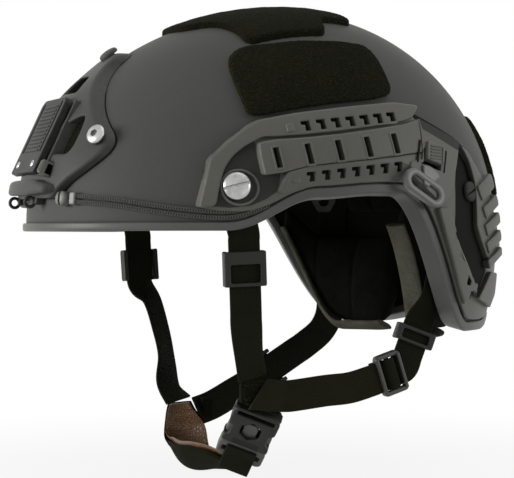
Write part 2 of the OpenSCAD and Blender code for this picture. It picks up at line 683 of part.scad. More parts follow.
module crown_pad() {
    half = 46;
    n = 7;
    color(pad_tone) skin([for (i = [0:n]) let (u = i / n, x = mix(-half, half, u))
        concat([for (j = [0:n]) let (v = j / n, y = mix(-half, half, v))
                top_point(x, y, -pad_back - pad_t * bulge(u, v))],
            [for (j = [n:-1:0]) top_point(x, mix(-half, half, j / n), -pad_back)])]);
}
disc_w = 20;
function turn_per_mm(turn) =
    180 / PI / norm([shell_half_w * cos(turn), (cos(turn) > 0 ? shell_front : shell_rear) * sin(turn)]);
module disc(turn, z, back = pad_back) {
    half = disc_w / 2 * turn_per_mm(turn);
    skin([for (t = [turn - half, turn, turn + half])
        concat([for (k = [-1, 0, 1]) wall_point(t, z + k * disc_w / 2, seat - back)],
            [for (k = [1, 0, -1]) wall_point(t, z + k * disc_w / 2, -disc_face)])]);
}
module hook_discs() {
    color("black") {
        disc(0, 24);
        for (side = [-1, 1]) mirrored(side) {
            disc(90, 46);
            disc(145, 34);
            disc(146, -22, liner_back);
        }
        disc(180, -22);
        translate([0, 0, crown_h - pad_back + seat]) cylinder(h = pad_back - disc_face - seat, d = disc_w / 2);
    }
}

// Harness

front_drop_y = -59.4;
strap_x = side_point(front_drop_y, -brim_drop, -web_layer_low)[0] - 1.2;
slider_z = -24.6;
front_way = unit([-0.045, 0.05, -1]);
web_clear = 0.35;
front_top = [strap_x, front_drop_y, -brim_drop - 3];
function front_line(z) = front_top + front_way * (front_top[2] - z) / -front_way[2];
front_left_end = [strap_x - 12, -49.6, -82.5];
front_up = [side_point(bolt_y, bolt_z + 7, -web_layer), side_point(bolt_y, bolt_z, -web_layer),
    side_point(bolt_y + 1, bolt_z - 7, -web_layer - seat), side_point(bolt_y + 5, 4, -web_layer_low)];
front_straight = [for (z = [-6, -10, -14, -25, -36]) front_line(z)];
front_route_left = concat(front_up, front_straight,
    [front_line(-42), front_line(-48), front_line(-54), front_left_end + [3.2, -3.4, 14], front_left_end]);
wall_wide = level(side_point(bolt_y, bolt_z, 0), 0);
drop_wide = mix(wall_wide, [0, 1, 0], 0.6);
front_wide_left = concat([wall_wide, wall_wide, wall_wide, wall_wide],
    [for (i = [0:7]) drop_wide], [[-0.1, 1, 0.15], [-0.1, 1, 0.2]]);
front_right_end = [-43.2, -48.6, -102.9];
front_route_right = concat([for (p = concat(front_up, front_straight)) flip(p, -1)],
    [[-81.5, -51.3, -45.7], [-75, -47.9, -63.5], [-64.5, -47.9, -80.8], [-52, -51.4, -94.7], front_right_end]);
drop_wide_right = flip(drop_wide, -1);
front_wide_right = concat([for (i = [0:3]) flip(front_wide_left[i], -1)], [for (i = [0:4]) drop_wide_right],
    [[-0.51, 0.86, 0], [-0.6, 0.8, 0], [-0.66, 0.75, 0], [-0.4, 0.92, 0], [0.1, 1, 0]]);
module bolt_hole_in_strap(side) {
    mirrored(side) on_side(bolt_y, bolt_z, -shell_t - 6) cylinder(h = 12, d = hole_d, $fn = round_fn);
}
module front_strap(side) {
    route = side > 0 ? front_route_left : front_route_right;
    wide = side > 0 ? front_wide_left : front_wide_right;
    color([0.12, 0.12, 0.1]) difference() {
        band(curve(route, 2), curve(wide, 2), web_w, web_t);
        bolt_hole_in_strap(side);
    }
}
function matrix(p, x, y, z) =
    [[x[0], y[0], z[0], p[0]], [x[1], y[1], z[1], p[1]], [x[2], y[2], z[2], p[2]], [0, 0, 0, 1]];
// A slider: the webbing runs along its Y, and its two windows look away from Z, to the outside
module slider(w, h, t) {
    side_bar = 2.4;
    difference() {
        translate([-w / 2 - side_bar - web_clear, -h / 2, -t / 2])
            cube([w + 2 * (side_bar + web_clear), h, t]);
        cube([w + 2 * web_clear, h + 2, web_t + 2 * web_clear], center = true);
        for (k = [-1, 1]) translate([-w / 2, k * h * 0.235 - h * 0.13, -t]) cube([w, h * 0.26, t]);
    }
}
slider_t = web_t + 2 * web_clear + 3.2;
module front_slider(side) {
    p = front_line(slider_z);
    color("darkslategray") mirrored(side) along_way(p, front_way, drop_wide) slider(web_w, slider_h, slider_t);
}
rear_anchor_left = 53;
rear_anchor_right = 62;
rear_anchor_z = -42;
rear_layer = web_layer_low + rear_sink;
// The strap's way down behind the lining, from the screw to the place y where it comes out
function rear_up(y) = [side_point(rear_screw_y, rear_screw_z + 8, -web_layer - seat),
    side_point(rear_screw_y, rear_screw_z, -web_layer - 2 * seat),
    side_point(rear_screw_y - 1, rear_screw_z - 10, -web_layer - 3 * seat),
    side_point(mix(rear_screw_y, y, 0.5), -18, -rear_layer), side_point(mix(rear_screw_y, y, 0.8), -32, -rear_layer),
    side_point(y, rear_anchor_z, -rear_layer)];
rear_up_left = rear_up(rear_anchor_left);
rear_up_right = rear_up(rear_anchor_right);
rear_bend = rear_up_left[5] + [-1, -5.5, -12.5];
lock_span = 15;
lock_deep = 4;
lock_window = 4.6;
lock_tilt = 18;
lock_lean = [0, cos(lock_tilt), sin(lock_tilt)];
lock_in = rear_bend + [-1, -8.9, -24];
lock_under = lock_deep / 2 + seat + web_t / 2 + 0.1;
lock_mid = lock_in - lock_lean * 10 + [lock_under, 0, 0];
rear_way = unit(lock_in - rear_bend);
rear_wide = [0.1, 0.93, -0.37];
function rear_line(d) = rear_bend + rear_way * d;
// Behind the lock's first bar, over its middle bar and back behind the last
function in_lock(u, x) = lock_mid + lock_lean * u + [x, 0, 0];
lock_weave = [in_lock(5.4, -lock_under), in_lock(3.7, -1), in_lock(1.7, web_t / 2 + seat),
    in_lock(-1.7, web_t / 2 + seat), in_lock(-3.7, -1), in_lock(-5.4, -lock_under), in_lock(-9.5, -lock_under - 0.4)];
rear_route_left = concat(rear_up_left, [for (k = [0, 5, 10, 15, 19.5]) rear_line(k)], [lock_in], lock_weave);
lock_wide = [0, sin(lock_tilt), -cos(lock_tilt)];
rear_wide_left = concat([for (p = rear_up_left) level(p, 0)], [for (i = [0:3]) rear_wide],
    [mix(rear_wide, lock_wide, 0.3), mix(rear_wide, lock_wide, 0.75)], [for (p = lock_weave) lock_wide]);
rear_end_right = [-44.6, -26.4, -106.3];
rear_mid_right = [-67, 30.4, -81.2];
rear_low_right = [-57, -4, -99];
rear_way_right = unit(rear_low_right - rear_mid_right);
function rear_line_right(d) = rear_mid_right + rear_way_right * d;
rear_route_right = concat([for (p = rear_up_right) flip(p, -1)], [[-70.2, 60.5, -55], [-71.2, 55.4, -65.5]],
    [for (k = [-16, -8, 0, 8, 14, 20, 28]) rear_line_right(k)], [mix(rear_line_right(28), rear_end_right, 0.5),
    rear_end_right]);
low_wide_right = [-0.23, -0.55, 0.8];
rear_wide_right = concat([for (p = rear_up_right) flip(level(p, 0), -1)], [[0.35, 0.9, -0.3], [0.2, 0.8, -0.6]],
    [for (i = [0:6]) -low_wide_right], [[0.25, 0.4, -0.85], [0.25, 0.25, -0.9]]);
module rear_strap(side) {
    route = side > 0 ? rear_route_left : rear_route_right;
    wide = side > 0 ? rear_wide_left : rear_wide_right;
    color([0.12, 0.12, 0.1]) difference() {
        band(curve(route, 2), curve(wide, 2), web_w, web_t);
        mirrored(side) on_side(rear_screw_y, rear_screw_z, -shell_t - 6) cylinder(h = 12, d = hole_d, $fn = round_fn);
    }
}
module along_way(p, way, wide) {
    n = unit(cross(way, wide));
    multmatrix(matrix(p, unit(cross(n, way)), way, -n)) children();
}
rear_slider_h = 9;
module rear_slider(side) {
    color("darkslategray") {
        if (side > 0) along_way(rear_line(8), rear_way, rear_wide) slider(web_w, rear_slider_h, slider_t);
        if (side < 0) along_way(rear_line_right(14), rear_way_right, low_wide_right)
            slider(web_w, rear_slider_h, slider_t);
    }
}
junction_size = [4, 23, 11];
junction_mid = front_left_end + [0, 4.5, -junction_size[2] / 2 - 1.9];
elastic_end = junction_mid + [0.5, junction_size[1] / 2 + seat, -2.4];
elastic_start = lock_mid - lock_lean * (lock_span / 2 + 1);
elastic_route = [elastic_start, elastic_start - lock_lean * 4, elastic_start + [-1.4, -15.8, -4.6],
    elastic_start + [-2, -30, -5.8], elastic_start + [-3, -47, -7.8], elastic_end];
elastic_wide = [[0, -0.31, 0.95], [0, -0.3, 0.95], [0, -0.14, 1], [0, -0.05, 1], [0, 0, 1], [0, 0.1, 1]];
module elastic_band_left() {
    color([0.15, 0.15, 0.13]) band(curve(elastic_route, 2), curve(elastic_wide, 2), web_w, web_t);
}
module ladder_lock_left() {
    side_bar = 2.5;
    color("darkslategray") translate(lock_mid) rotate([lock_tilt, 0, 0]) difference() {
        cube([lock_deep, lock_span, web_w + 2 * (side_bar + slack)], center = true);
        for (k = [-1, 1]) translate([0, k * (lock_window / 2 + 1.3), 0])
            cube([lock_deep + 2, lock_window, web_w + 2 * slack], center = true);
        translate([lock_deep / 2, 0, 0]) cube([lock_deep, 2 * lock_window, web_w + 2 * slack], center = true);
    }
}
module junction_left() {
    color([0.1, 0.1, 0.09]) translate(junction_mid) cube(junction_size, center = true);
}
cup_near = [45.5, -46.9, -126.4];
cup_far = front_right_end + [1.3, 0.3, -1.5];
chin_start = junction_mid + [-0.4, 1.3, -junction_size[2] / 2 - 1.6];
chin_way = unit(cup_near - chin_start);
chin_wide = [0.3, 0.9, -0.38];
chin_face = unit(cross(chin_way, chin_wide));
chin_side = cross(chin_way, chin_face);
female_l = 25;
female_at = 3.5;
male_l = 11;
module at_chin(d) {
    multmatrix(matrix(chin_start + chin_way * d, chin_side, chin_way, chin_face)) children();
}
module chin_strap() {
    stop = chin_start + chin_way * (female_at - 2 * seat);
    color([0.12, 0.12, 0.1])
        band([chin_start + [0, 0, 1.2], chin_start, stop], [[0, 1, 0], [0.12, 0.97, -0.15], chin_wide], web_w, web_t);
}
buckle_w = 26;
buckle_t = 9;
module buckle_female() {
    color("dimgray") at_chin(female_at) difference() {
        translate([-buckle_w / 2, 0, -buckle_t / 2]) cube([buckle_w, female_l, buckle_t]);
        translate([-buckle_w / 2 + 3, 8, -buckle_t / 2 + 2]) cube([buckle_w - 6, female_l, buckle_t - 4]);
        translate([0, 13.5, 0]) cylinder(h = 20, d = 13, $fn = 6);
        for (k = [-1, 1]) translate([k * buckle_w / 2 - 2, 12, -buckle_t]) cube([4, 8, 2 * buckle_t]);
        translate([-buckle_w / 2 + 2.5, 2, -buckle_t]) cube([buckle_w - 5, 3, 2 * buckle_t]);
    }
}
module buckle_male() {
    prong_t = buckle_t - 4 - 2 * slack;
    color("gray") at_chin(female_at + female_l + seat) difference() {
        union() {
            translate([-buckle_w / 2, 0, -buckle_t / 2 + 0.8]) cube([buckle_w, male_l, buckle_t - 1.6]);
            translate([-4, -15, -prong_t / 2]) cube([8, 15.5, prong_t]);
            for (k = [-1, 1]) translate([k * 7.5 - 1.4, -11, -prong_t / 2]) cube([2.8, 11.5, prong_t]);
        }
        translate([-buckle_w / 2 + 2.5, 4, -buckle_t]) cube([buckle_w - 5, 3.2, 2 * buckle_t]);
    }
}
cup_gap = 4.6;
cup_end = chin_start + chin_way * (female_at + female_l + seat + male_l + cup_gap);
cup_line = [cup_far, [-42.2, -47.3, -111], [-39.6, -46, -119.6], [-30, -46.6, -127.6], [-10, -51.3, -130.3],
    [12, -52.4, -128.5], [30.5, -50, -128.4], cup_end];
// From its front edge to its rear edge
cup_up = [[0.38, 0.92, 0.05], [0.38, 0.92, 0], [0.36, 0.92, -0.1], [0.25, 0.9, -0.3], [0, 0.87, -0.5],
    [0, 0.87, -0.5], [0.15, 0.88, -0.45], chin_wide];
cup_half = [7, 9.5, 12.5, 12.5, 12.5, 12, 11, web_w / 2];
cup_bow = [1, 2, 4, 6, 6.5, 5, 3, 0.5];
cup_cuts = 2;
cup_side = 2;
lining_gap = 1;
function cup_ring(c, up, half, bow, way, low, high) =
    let (n = unit(cross(up, way)), s = cross(way, n), row = [for (k = [-cup_side:cup_side]) k / cup_side])
    concat([for (k = row) c + s * half * k + n * (low + bow * (1 - k * k))],
        [for (k = reverse(row)) c + s * half * k + n * (high + bow * (1 - k * k))]);
module cup_layer(low, high, shrink) {
    path = curve(cup_line, cup_cuts);
    ups = curve(cup_up, cup_cuts);
    halves = curve(cup_half, cup_cuts);
    bows = curve(cup_bow, cup_cuts);
    skin([for (i = [0:len(path) - 1])
        reverse(cup_ring(path[i], ups[i], halves[i] - shrink, bows[i], heading(path, i), low, high))]);
}
module chin_cup() {
    color([0.11, 0.11, 0.1]) cup_layer(0, cup_t, 0);
}
module chin_cup_lining() {
    color("saddlebrown") cup_layer(-lining_gap - cup_lining_t, -lining_gap, 1);
}
tail_z = buckle_t / 2 + slack;
tail_route = [[0, 1.7, tail_z], [0, 7, tail_z + 0.2], [0, 12, tail_z + 1.3], [0, 16.7, tail_z + 1.7]];
// The strap's folded end, over the outer face of the buckle's near part
module strap_tail() {
    color([0.12, 0.12, 0.1]) at_chin(female_at + female_l)
        band(curve(tail_route, 2), [for (i = [0:6]) [1, 0, 0]], web_w, web_t);
}
junction_right_mid = [-42.6, -31.2, -108.2];
module junction_right() {
    color([0.1, 0.1, 0.09]) translate(junction_right_mid) cube([4, 7, 13], center = true);
}

shell();
edge_trim();
crown_patch();
side_patch(1);  // side_patch_left
side_patch(-1);  // side_patch_right
rear_patch();
shroud();
shroud_bolts();
shroud_plate();
plate_screws();
release_button();
shroud_lip();
lanyard_hooks();
bungee(1);  // bungee_left
bungee(-1);  // bungee_right
bungee_toggle(1);  // bungee_toggle_left
bungee_toggle(-1);  // bungee_toggle_right
rail(1);  // rail_left
rail(-1);  // rail_right
rail_bolts();
rail_rear_screws();
inner_nuts();
rail_lock(1);  // rail_lock_left
rail_lock(-1);  // rail_lock_right
strap_loop(1);  // strap_loop_left
strap_loop(-1);  // strap_loop_right
hook_discs();
front_pad();
crown_pad();
temple_pad(1);  // temple_pad_left
temple_pad(-1);  // temple_pad_right
side_pad(1);  // side_pad_left
side_pad(-1);  // side_pad_right
rear_liner(1);  // rear_liner_left
rear_liner(-1);  // rear_liner_right
nape_pad();
front_strap(1);  // front_strap_left
front_strap(-1);  // front_strap_right
front_slider(1);  // front_slider_left
front_slider(-1);  // front_slider_right
rear_strap(1);  // rear_strap_left
rear_strap(-1);  // rear_strap_right
rear_slider(1);  // rear_slider_left
rear_slider(-1);  // rear_slider_right
ladder_lock_left();
elastic_band_left();
junction_left();
junction_right();
buckle_female();
buckle_male();
chin_strap();
strap_tail();
chin_cup();
chin_cup_lining();
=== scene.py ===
"""A high-cut helmet with rails, shroud, padded lining and chin harness, dressed over its frame."""
import math

import bmesh
import bpy
import numpy as np
from mathutils import Matrix, Vector


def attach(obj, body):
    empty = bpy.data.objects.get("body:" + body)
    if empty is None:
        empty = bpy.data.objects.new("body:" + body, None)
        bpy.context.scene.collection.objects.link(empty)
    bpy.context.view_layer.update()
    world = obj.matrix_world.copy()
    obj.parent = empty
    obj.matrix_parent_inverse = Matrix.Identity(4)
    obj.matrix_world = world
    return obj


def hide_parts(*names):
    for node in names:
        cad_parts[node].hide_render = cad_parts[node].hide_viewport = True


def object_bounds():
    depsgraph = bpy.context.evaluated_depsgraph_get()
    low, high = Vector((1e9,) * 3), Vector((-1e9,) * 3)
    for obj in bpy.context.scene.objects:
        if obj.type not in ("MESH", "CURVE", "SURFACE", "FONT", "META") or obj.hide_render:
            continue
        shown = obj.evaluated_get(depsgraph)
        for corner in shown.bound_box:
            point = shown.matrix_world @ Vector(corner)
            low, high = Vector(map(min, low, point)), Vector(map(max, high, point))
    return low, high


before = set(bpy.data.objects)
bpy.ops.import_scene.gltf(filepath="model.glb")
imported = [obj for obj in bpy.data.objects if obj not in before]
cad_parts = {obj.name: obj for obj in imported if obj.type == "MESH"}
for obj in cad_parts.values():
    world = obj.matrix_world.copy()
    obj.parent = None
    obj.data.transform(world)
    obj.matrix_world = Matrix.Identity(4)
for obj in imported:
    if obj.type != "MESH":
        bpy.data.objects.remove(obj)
CAD_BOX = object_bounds()

bl_info = {
    "name": "Helmet with side rails",
    "version": (1, 0, 0),
    "blender": (4, 5, 0),
    "location": "3D View > Sidebar > Helmet",
    "description": "Builds a high-cut helmet with rails, shroud, lining and chin harness",
    "category": "Object",
}

# Sizes and colours that a user may change


def length(name, default, description):
    return bpy.props.FloatProperty(name=name, description=description, default=default, min=0.0, max=1.0,
                                   precision=4, unit="LENGTH")


def tone(name, default, description):
    return bpy.props.FloatVectorProperty(name=name, description=description, default=default, size=3, min=0.0,
                                         max=1.0, subtype="COLOR")


class HELMET_PG_shell(bpy.types.PropertyGroup):
    """Sizes of the shell and of what follows its rim"""

    half_width: length("Half width", 0.108, "Half width of the shell at the brim plane")
    front: length("Front", 0.149, "Length of the shell ahead of the origin")
    rear: length("Rear", 0.122, "Length of the shell behind the origin")
    crown: length("Crown", 0.1195, "Height of the crown over the brim plane")
    skirt: length("Skirt", 0.17, "Depth over which the wall draws in below the brim plane")
    thickness: length("Thickness", 0.008, "Thickness of the shell")
    edging: length("Edging", 0.0013, "Thickness of the rubber edging")
    edging_leg: length("Edging height", 0.003, "Height of the edging up the shell")
    pile: length("Loop pile", 0.0024, "Thickness of the loop pile patches")


class HELMET_PG_rail(bpy.types.PropertyGroup):
    """Sizes of the side rails and the front shroud"""

    base: length("Base", 0.003, "Height of the rail's base plate over the shell")
    panel: length("Panel", 0.008, "Height of the rail's main panel over the shell")
    band: length("Band", 0.0065, "Height of the rail's border band over the shell")
    block: length("Rear block", 0.0095, "Height of the rear block over the shell")
    slot_length: length("Slot length", 0.0105, "Length of an accessory slot")
    slot_width: length("Slot width", 0.003, "Width of an accessory slot")
    bolt_head: length("Bolt head", 0.0145, "Diameter of the big slotted bolt's head")
    shroud: length("Shroud", 0.004, "Height of the shroud frame")
    plate_width: length("Plate width", 0.044, "Width of the insert plate")
    plate_length: length("Plate length", 0.045, "Length of the insert plate")
    plate_thickness: length("Plate thickness", 0.0034, "Thickness of the insert plate")
    cord: length("Cord", 0.0025, "Diameter of one bungee cord")


class HELMET_PG_harness(bpy.types.PropertyGroup):
    """Sizes of the lining and the chin harness"""

    pad: length("Pad", 0.017, "Thickness of a lining pad")
    web: length("Webbing width", 0.017, "Width of the webbing")
    web_thickness: length("Webbing thickness", 0.0016, "Thickness of the webbing")
    cup: length("Cup", 0.0024, "Thickness of the chin cup's outer layer")
    leather: length("Leather", 0.0016, "Thickness of the cup's leather lining")


class HELMET_PG_colours(bpy.types.PropertyGroup):
    """Colours of the helmet's finishes"""

    coat: tone("Coating", (0.092, 0.092, 0.086), "Sand-textured coating of the shell")
    rail: tone("Rail", (0.125, 0.124, 0.108), "Moulded rail")
    shroud: tone("Shroud", (0.07, 0.07, 0.066), "Moulded shroud frame")
    plate: tone("Insert plate", (0.024, 0.024, 0.022), "Moulded insert plate")
    edging: tone("Edging", (0.1, 0.1, 0.094), "Rubber edging")
    steel: tone("Steel", (0.56, 0.56, 0.54), "Bolts and screws")
    pile: tone("Loop pile", (0.011, 0.011, 0.005), "Loop pile patches")
    webbing: tone("Webbing", (0.010, 0.010, 0.005), "Webbing of the harness")
    moulded: tone("Dark plastic", (0.02, 0.02, 0.017), "Sliders and buckle")
    lining: tone("Lining", (0.008, 0.008, 0.006), "Cover of the lining pads")
    leather: tone("Leather", (0.13, 0.058, 0.017), "Leather lining of the chin cup")
    ring: tone("Strap loop", (0.13, 0.13, 0.12), "Oval strap loop and toggles")


def sizes(group):
    return getattr(bpy.context.scene, "helmet_" + group)


def mm(group, name):
    return getattr(sizes(group), name) * 1000.0


def colour(name):
    return tuple(getattr(sizes("colours"), name)) + (1.0,)


# The smooth surface of the shell, in millimetres


def ease(a, b, t):
    u = np.clip((t - a) / (b - a), 0.0, 1.0)
    return u * u * (3.0 - 2.0 * u)


def unit(v):
    v = np.asarray(v, float)
    return v / np.maximum(np.linalg.norm(v, axis=-1, keepdims=True), 1e-9)


class Dome:
    """The shell's outer surface and surfaces that lie g outside it."""

    def __init__(self):
        self.half = mm("shell", "half_width")
        self.front = mm("shell", "front")
        self.rear = mm("shell", "rear")
        self.crown = mm("shell", "crown")
        self.skirt = mm("shell", "skirt")
        self.wall_t = mm("shell", "thickness")

    def long(self, y, g):
        return np.where(np.asarray(y) < 0, self.front, self.rear) + g

    def tall(self, z, g):
        return np.where(np.asarray(z) < 0, self.skirt, self.crown) + g

    def share(self, a, b):
        return np.sqrt(np.maximum(0.02, 1.0 - a * a - b * b))

    def pile_up(self, x, y, z):
        x, y, z = np.broadcast_arrays(x, y, z)
        return np.stack([x, y, z], -1).astype(float)

    def at_side(self, y, z, g):
        return self.pile_up((self.half + g) * self.share(y / self.long(y, g), z / self.tall(z, g)), y, z)

    def at_front(self, x, z, g):
        return self.pile_up(x, -(self.front + g) * self.share(x / (self.half + g), z / self.tall(z, g)), z)

    def at_rear(self, x, z, g):
        return self.pile_up(-x, (self.rear + g) * self.share(x / (self.half + g), z / self.tall(z, g)), z)

    def at_top(self, x, y, g):
        return self.pile_up(x, y, (self.crown + g) * self.share(x / (self.half + g), y / self.long(y, g)))

    def polar(self, tilt, turn, g):
        c, s = np.cos(np.radians(turn)), np.sin(np.radians(turn))
        t, u = np.sin(np.radians(tilt)), np.cos(np.radians(tilt))
        ahead = np.where(c > 0, self.front, self.rear) + g
        tall = np.where(t < 0, self.skirt, self.crown) + g
        return self.pile_up((self.half + g) * u * s, -ahead * u * c, tall * t)

    def at_wall(self, turn, z, g):
        return self.polar(np.degrees(np.arcsin(z / self.tall(z, g))), turn, g)

    def normal(self, p):
        p = np.asarray(p, float)
        return unit(np.stack([p[..., 0] / self.half ** 2, p[..., 1] / self.long(p[..., 1], 0) ** 2,
                              p[..., 2] / self.tall(p[..., 2], 0) ** 2], -1))

    def rim_z(self, y):
        return (-3.0 + 17.0 * ease(-72, -26, y) + 2.4 * ease(-26, 8, y) - 74.0 * ease(20, 74, y)
                + 9.0 * ease(90, 124, y))

    def rim_tilt(self, turn):
        low = np.full(np.shape(turn), -40.0)
        high = np.full(np.shape(turn), 30.0)
        for _ in range(22):
            mid = (low + high) / 2
            p = self.polar(mid, turn, 0.0)
            above = p[..., 2] > self.rim_z(p[..., 1])
            high = np.where(above, mid, high)
            low = np.where(above, low, mid)
        return (low + high) / 2


def spot(p, n):
    """A matrix at p with its Z along n and its X level."""
    n = Vector(n).normalized()
    level = Vector((0, 0, 1)).cross(n).normalized()
    m = Matrix((level, n.cross(level), n)).transposed().to_4x4()
    m.translation = Vector(p)
    return m


def raised(dome, p, g):
    """A matrix g millimetres outside the point p of the shell."""
    n = dome.normal(p)
    return spot(p + n * g, n)


def side_spot(dome, y, z, g):
    return raised(dome, dome.at_side(y, z, 0.0), g)


def front_spot(dome, x, z, g):
    return raised(dome, dome.at_front(x, z, 0.0), g)


# Mesh helpers, all in millimetres

LOOP_SHARE = 0.46
LEAST_CUT = 0.05
SAME = 1e-3
ON_PLANE = 1e-4


def collect(bm, part, paint=0, flip=False):
    """Adds part to bm, on the far side where flip is true."""
    if flip:
        bmesh.ops.scale(part, vec=(-1, 1, 1), verts=part.verts)
    bmesh.ops.recalc_face_normals(part, faces=part.faces)
    for f in part.faces:
        f.material_index = paint
    mesh = bpy.data.meshes.new("part")
    part.to_mesh(mesh)
    part.free()
    bm.from_mesh(mesh)
    bpy.data.meshes.remove(mesh)


def seat(bm, m, part, paint=0, flip=False):
    """Adds part to bm at the place m."""
    bmesh.ops.transform(part, matrix=m, verts=part.verts)
    collect(bm, part, paint, flip)


def flat(bm, m, loop, low, high, paint=0, flip=False, **more):
    """Adds a block with the outline loop, standing on the plane of m."""
    seat(bm, m, slab(loop, low, high, step=0, **more), paint, flip)


def round_loop(bm, loop, radius, arc):
    """A flat face along the loop, with its corners rounded."""
    corners = [bm.verts.new((u, v, 0.0)) for u, v in loop]
    bm.faces.new(corners)
    if radius <= 0:
        return
    cuts = [min([radius] + [LOOP_SHARE * e.calc_length() for e in v.link_edges]) for v in corners]
    for v, cut in zip(corners, cuts):
        if cut > LEAST_CUT:
            bmesh.ops.bevel(bm, geom=[v], offset=cut, offset_type="OFFSET", segments=arc, profile=0.5,
                            affect="VERTICES", clamp_overlap=False, material=-1)


def slab(loop, low, high, edge=0.5, radius=1.5, holes=(), hole_radius=0.6, arc=3, segments=2, step=4.0,
         place=None, tall=None):
    """A raised block with the outline loop, bent onto the surface that place gives."""
    bm = bmesh.new()
    round_loop(bm, loop, radius, arc)
    for hole in holes:
        round_loop(bm, hole, hole_radius, arc)
    if holes:
        bmesh.ops.delete(bm, geom=bm.faces[:], context="FACES_ONLY")
        bmesh.ops.triangle_fill(bm, use_beauty=True, use_dissolve=False, edges=bm.edges[:])
    floor = bm.verts[:]
    caps = bm.faces[:]
    ret = bmesh.ops.extrude_face_region(bm, geom=caps, use_keep_orig=True)
    lid = [g for g in ret["geom"] if isinstance(g, bmesh.types.BMVert)]
    for v in floor:
        v.co.z = low
    for v in lid:
        v.co.z = high
    bmesh.ops.recalc_face_normals(bm, faces=bm.faces)
    lid_set = set(lid)
    rim = [e for e in bm.edges if e.verts[0] in lid_set and e.verts[1] in lid_set
           and any(abs(f.normal.z) < 0.5 for f in e.link_faces)]
    if edge > 0:
        bmesh.ops.bevel(bm, geom=rim, offset=edge, offset_type="OFFSET", segments=segments, profile=0.5,
                        affect="EDGES", clamp_overlap=False, material=-1)
    if step:
        co = np.array([v.co for v in bm.verts])
        for axis in (0, 1):
            normal = Vector((1, 0, 0)) if axis == 0 else Vector((0, 1, 0))
            first = math.floor(co[:, axis].min() / step) + 1
            last = math.ceil(co[:, axis].max() / step)
            for k in range(first, last):
                bmesh.ops.bisect_plane(bm, geom=bm.verts[:] + bm.edges[:] + bm.faces[:], dist=ON_PLANE,
                                       plane_co=normal * (k * step), plane_no=normal)
    bmesh.ops.triangulate(bm, faces=[f for f in bm.faces if len(f.verts) > 4])
    if place is not None:
        co = np.array([v.co for v in bm.verts])
        h = co[:, 2]
        if tall is not None:
            h = low + (h - low) * (tall(co[:, 0], co[:, 1]) - low) / (high - low)
        out = place(co[:, 0], co[:, 1], h)
        for v, p in zip(bm.verts, out):
            v.co = p
    return bm


def box_loop(w, h, x=0.0, y=0.0, turn=0.0):
    return shift([(-w / 2, -h / 2), (w / 2, -h / 2), (w / 2, h / 2), (-w / 2, h / 2)], x, y, turn)


def shift(loop, x, y, turn=0.0):
    c, s = math.cos(math.radians(turn)), math.sin(math.radians(turn))
    return [(x + c * a - s * b, y + s * a + c * b) for a, b in loop]


def stadium(whole, width, arc=10):
    half = (whole - width) / 2
    turns = [math.radians(-90 + 180 * k / arc) for k in range(arc + 1)]
    return [(sign * (half + width / 2 * math.cos(a)), sign * width / 2 * math.sin(a)) for sign in (1, -1)
            for a in turns]


def lathe(profile, steps=48):
    """A turned solid round Z from (radius, height) points that start and end on the axis."""
    bm = bmesh.new()
    verts = [bm.verts.new((r, 0, z)) for r, z in profile]
    edges = [bm.edges.new(pair) for pair in zip(verts, verts[1:])]
    bmesh.ops.spin(bm, geom=verts + edges, cent=(0, 0, 0), axis=(0, 0, 1), dvec=(0, 0, 0), angle=math.tau,
                   steps=steps, use_merge=True)
    bmesh.ops.remove_doubles(bm, verts=bm.verts, dist=SAME)
    bmesh.ops.recalc_face_normals(bm, faces=bm.faces)
    return bm


def sink(bm, planes, inside, floor):
    """Cuts the planes into a turned head and pushes the faces between them down to floor."""
    for co, no in planes:
        bmesh.ops.bisect_plane(bm, geom=bm.verts[:] + bm.edges[:] + bm.faces[:], dist=ON_PLANE,
                               plane_co=co, plane_no=no)
    picked = [f for f in bm.faces if f.normal.z > 0.3 and inside(f.calc_center_median())]
    if not picked:
        raise RuntimeError("no faces for a recess")
    ret = bmesh.ops.extrude_face_region(bm, geom=picked)
    bmesh.ops.delete(bm, geom=picked, context="FACES_ONLY")
    for g in ret["geom"]:
        if isinstance(g, bmesh.types.BMVert):
            g.co.z = floor


def grid(nu, nv):
    """A bmesh grid and its share along each way, from 0 to 1."""
    bm = bmesh.new()
    bmesh.ops.create_grid(bm, x_segments=nu, y_segments=nv, size=1.0)
    co = np.array([v.co for v in bm.verts])
    return bm, (co[:, 0] + 1) / 2, (co[:, 1] + 1) / 2


def move(bm, points):
    for v, p in zip(bm.verts, points):
        v.co = p


def catmull(route, n):
    """n points along the curve through the route, as the CAD source makes it."""
    route = np.asarray(route, float)
    if route.ndim == 1:
        route = route[:, None]
    t = np.linspace(0, len(route) - 1, n)
    i = np.minimum(t.astype(int), len(route) - 2)
    f = (t - i)[:, None]
    p0, p1 = route[np.maximum(i - 1, 0)], route[i]
    p2, p3 = route[i + 1], route[np.minimum(i + 2, len(route) - 1)]
    return 0.5 * (2 * p1 + (p2 - p0) * f + (2 * p0 - 5 * p1 + 4 * p2 - p3) * f ** 2
                  + (3 * p1 - p0 - 3 * p2 + p3) * f ** 3)


def headings(path, closed=False):
    if closed:
        return unit(np.roll(path, -1, 0) - np.roll(path, 1, 0))
    ahead = np.vstack([path[1:], path[-1:]])
    back = np.vstack([path[:1], path[:-1]])
    return unit(ahead - back)


def distances(path):
    """The run along the path to each of its points."""
    return np.concatenate([[0.0], np.cumsum(np.linalg.norm(np.diff(path, axis=0), axis=1))])


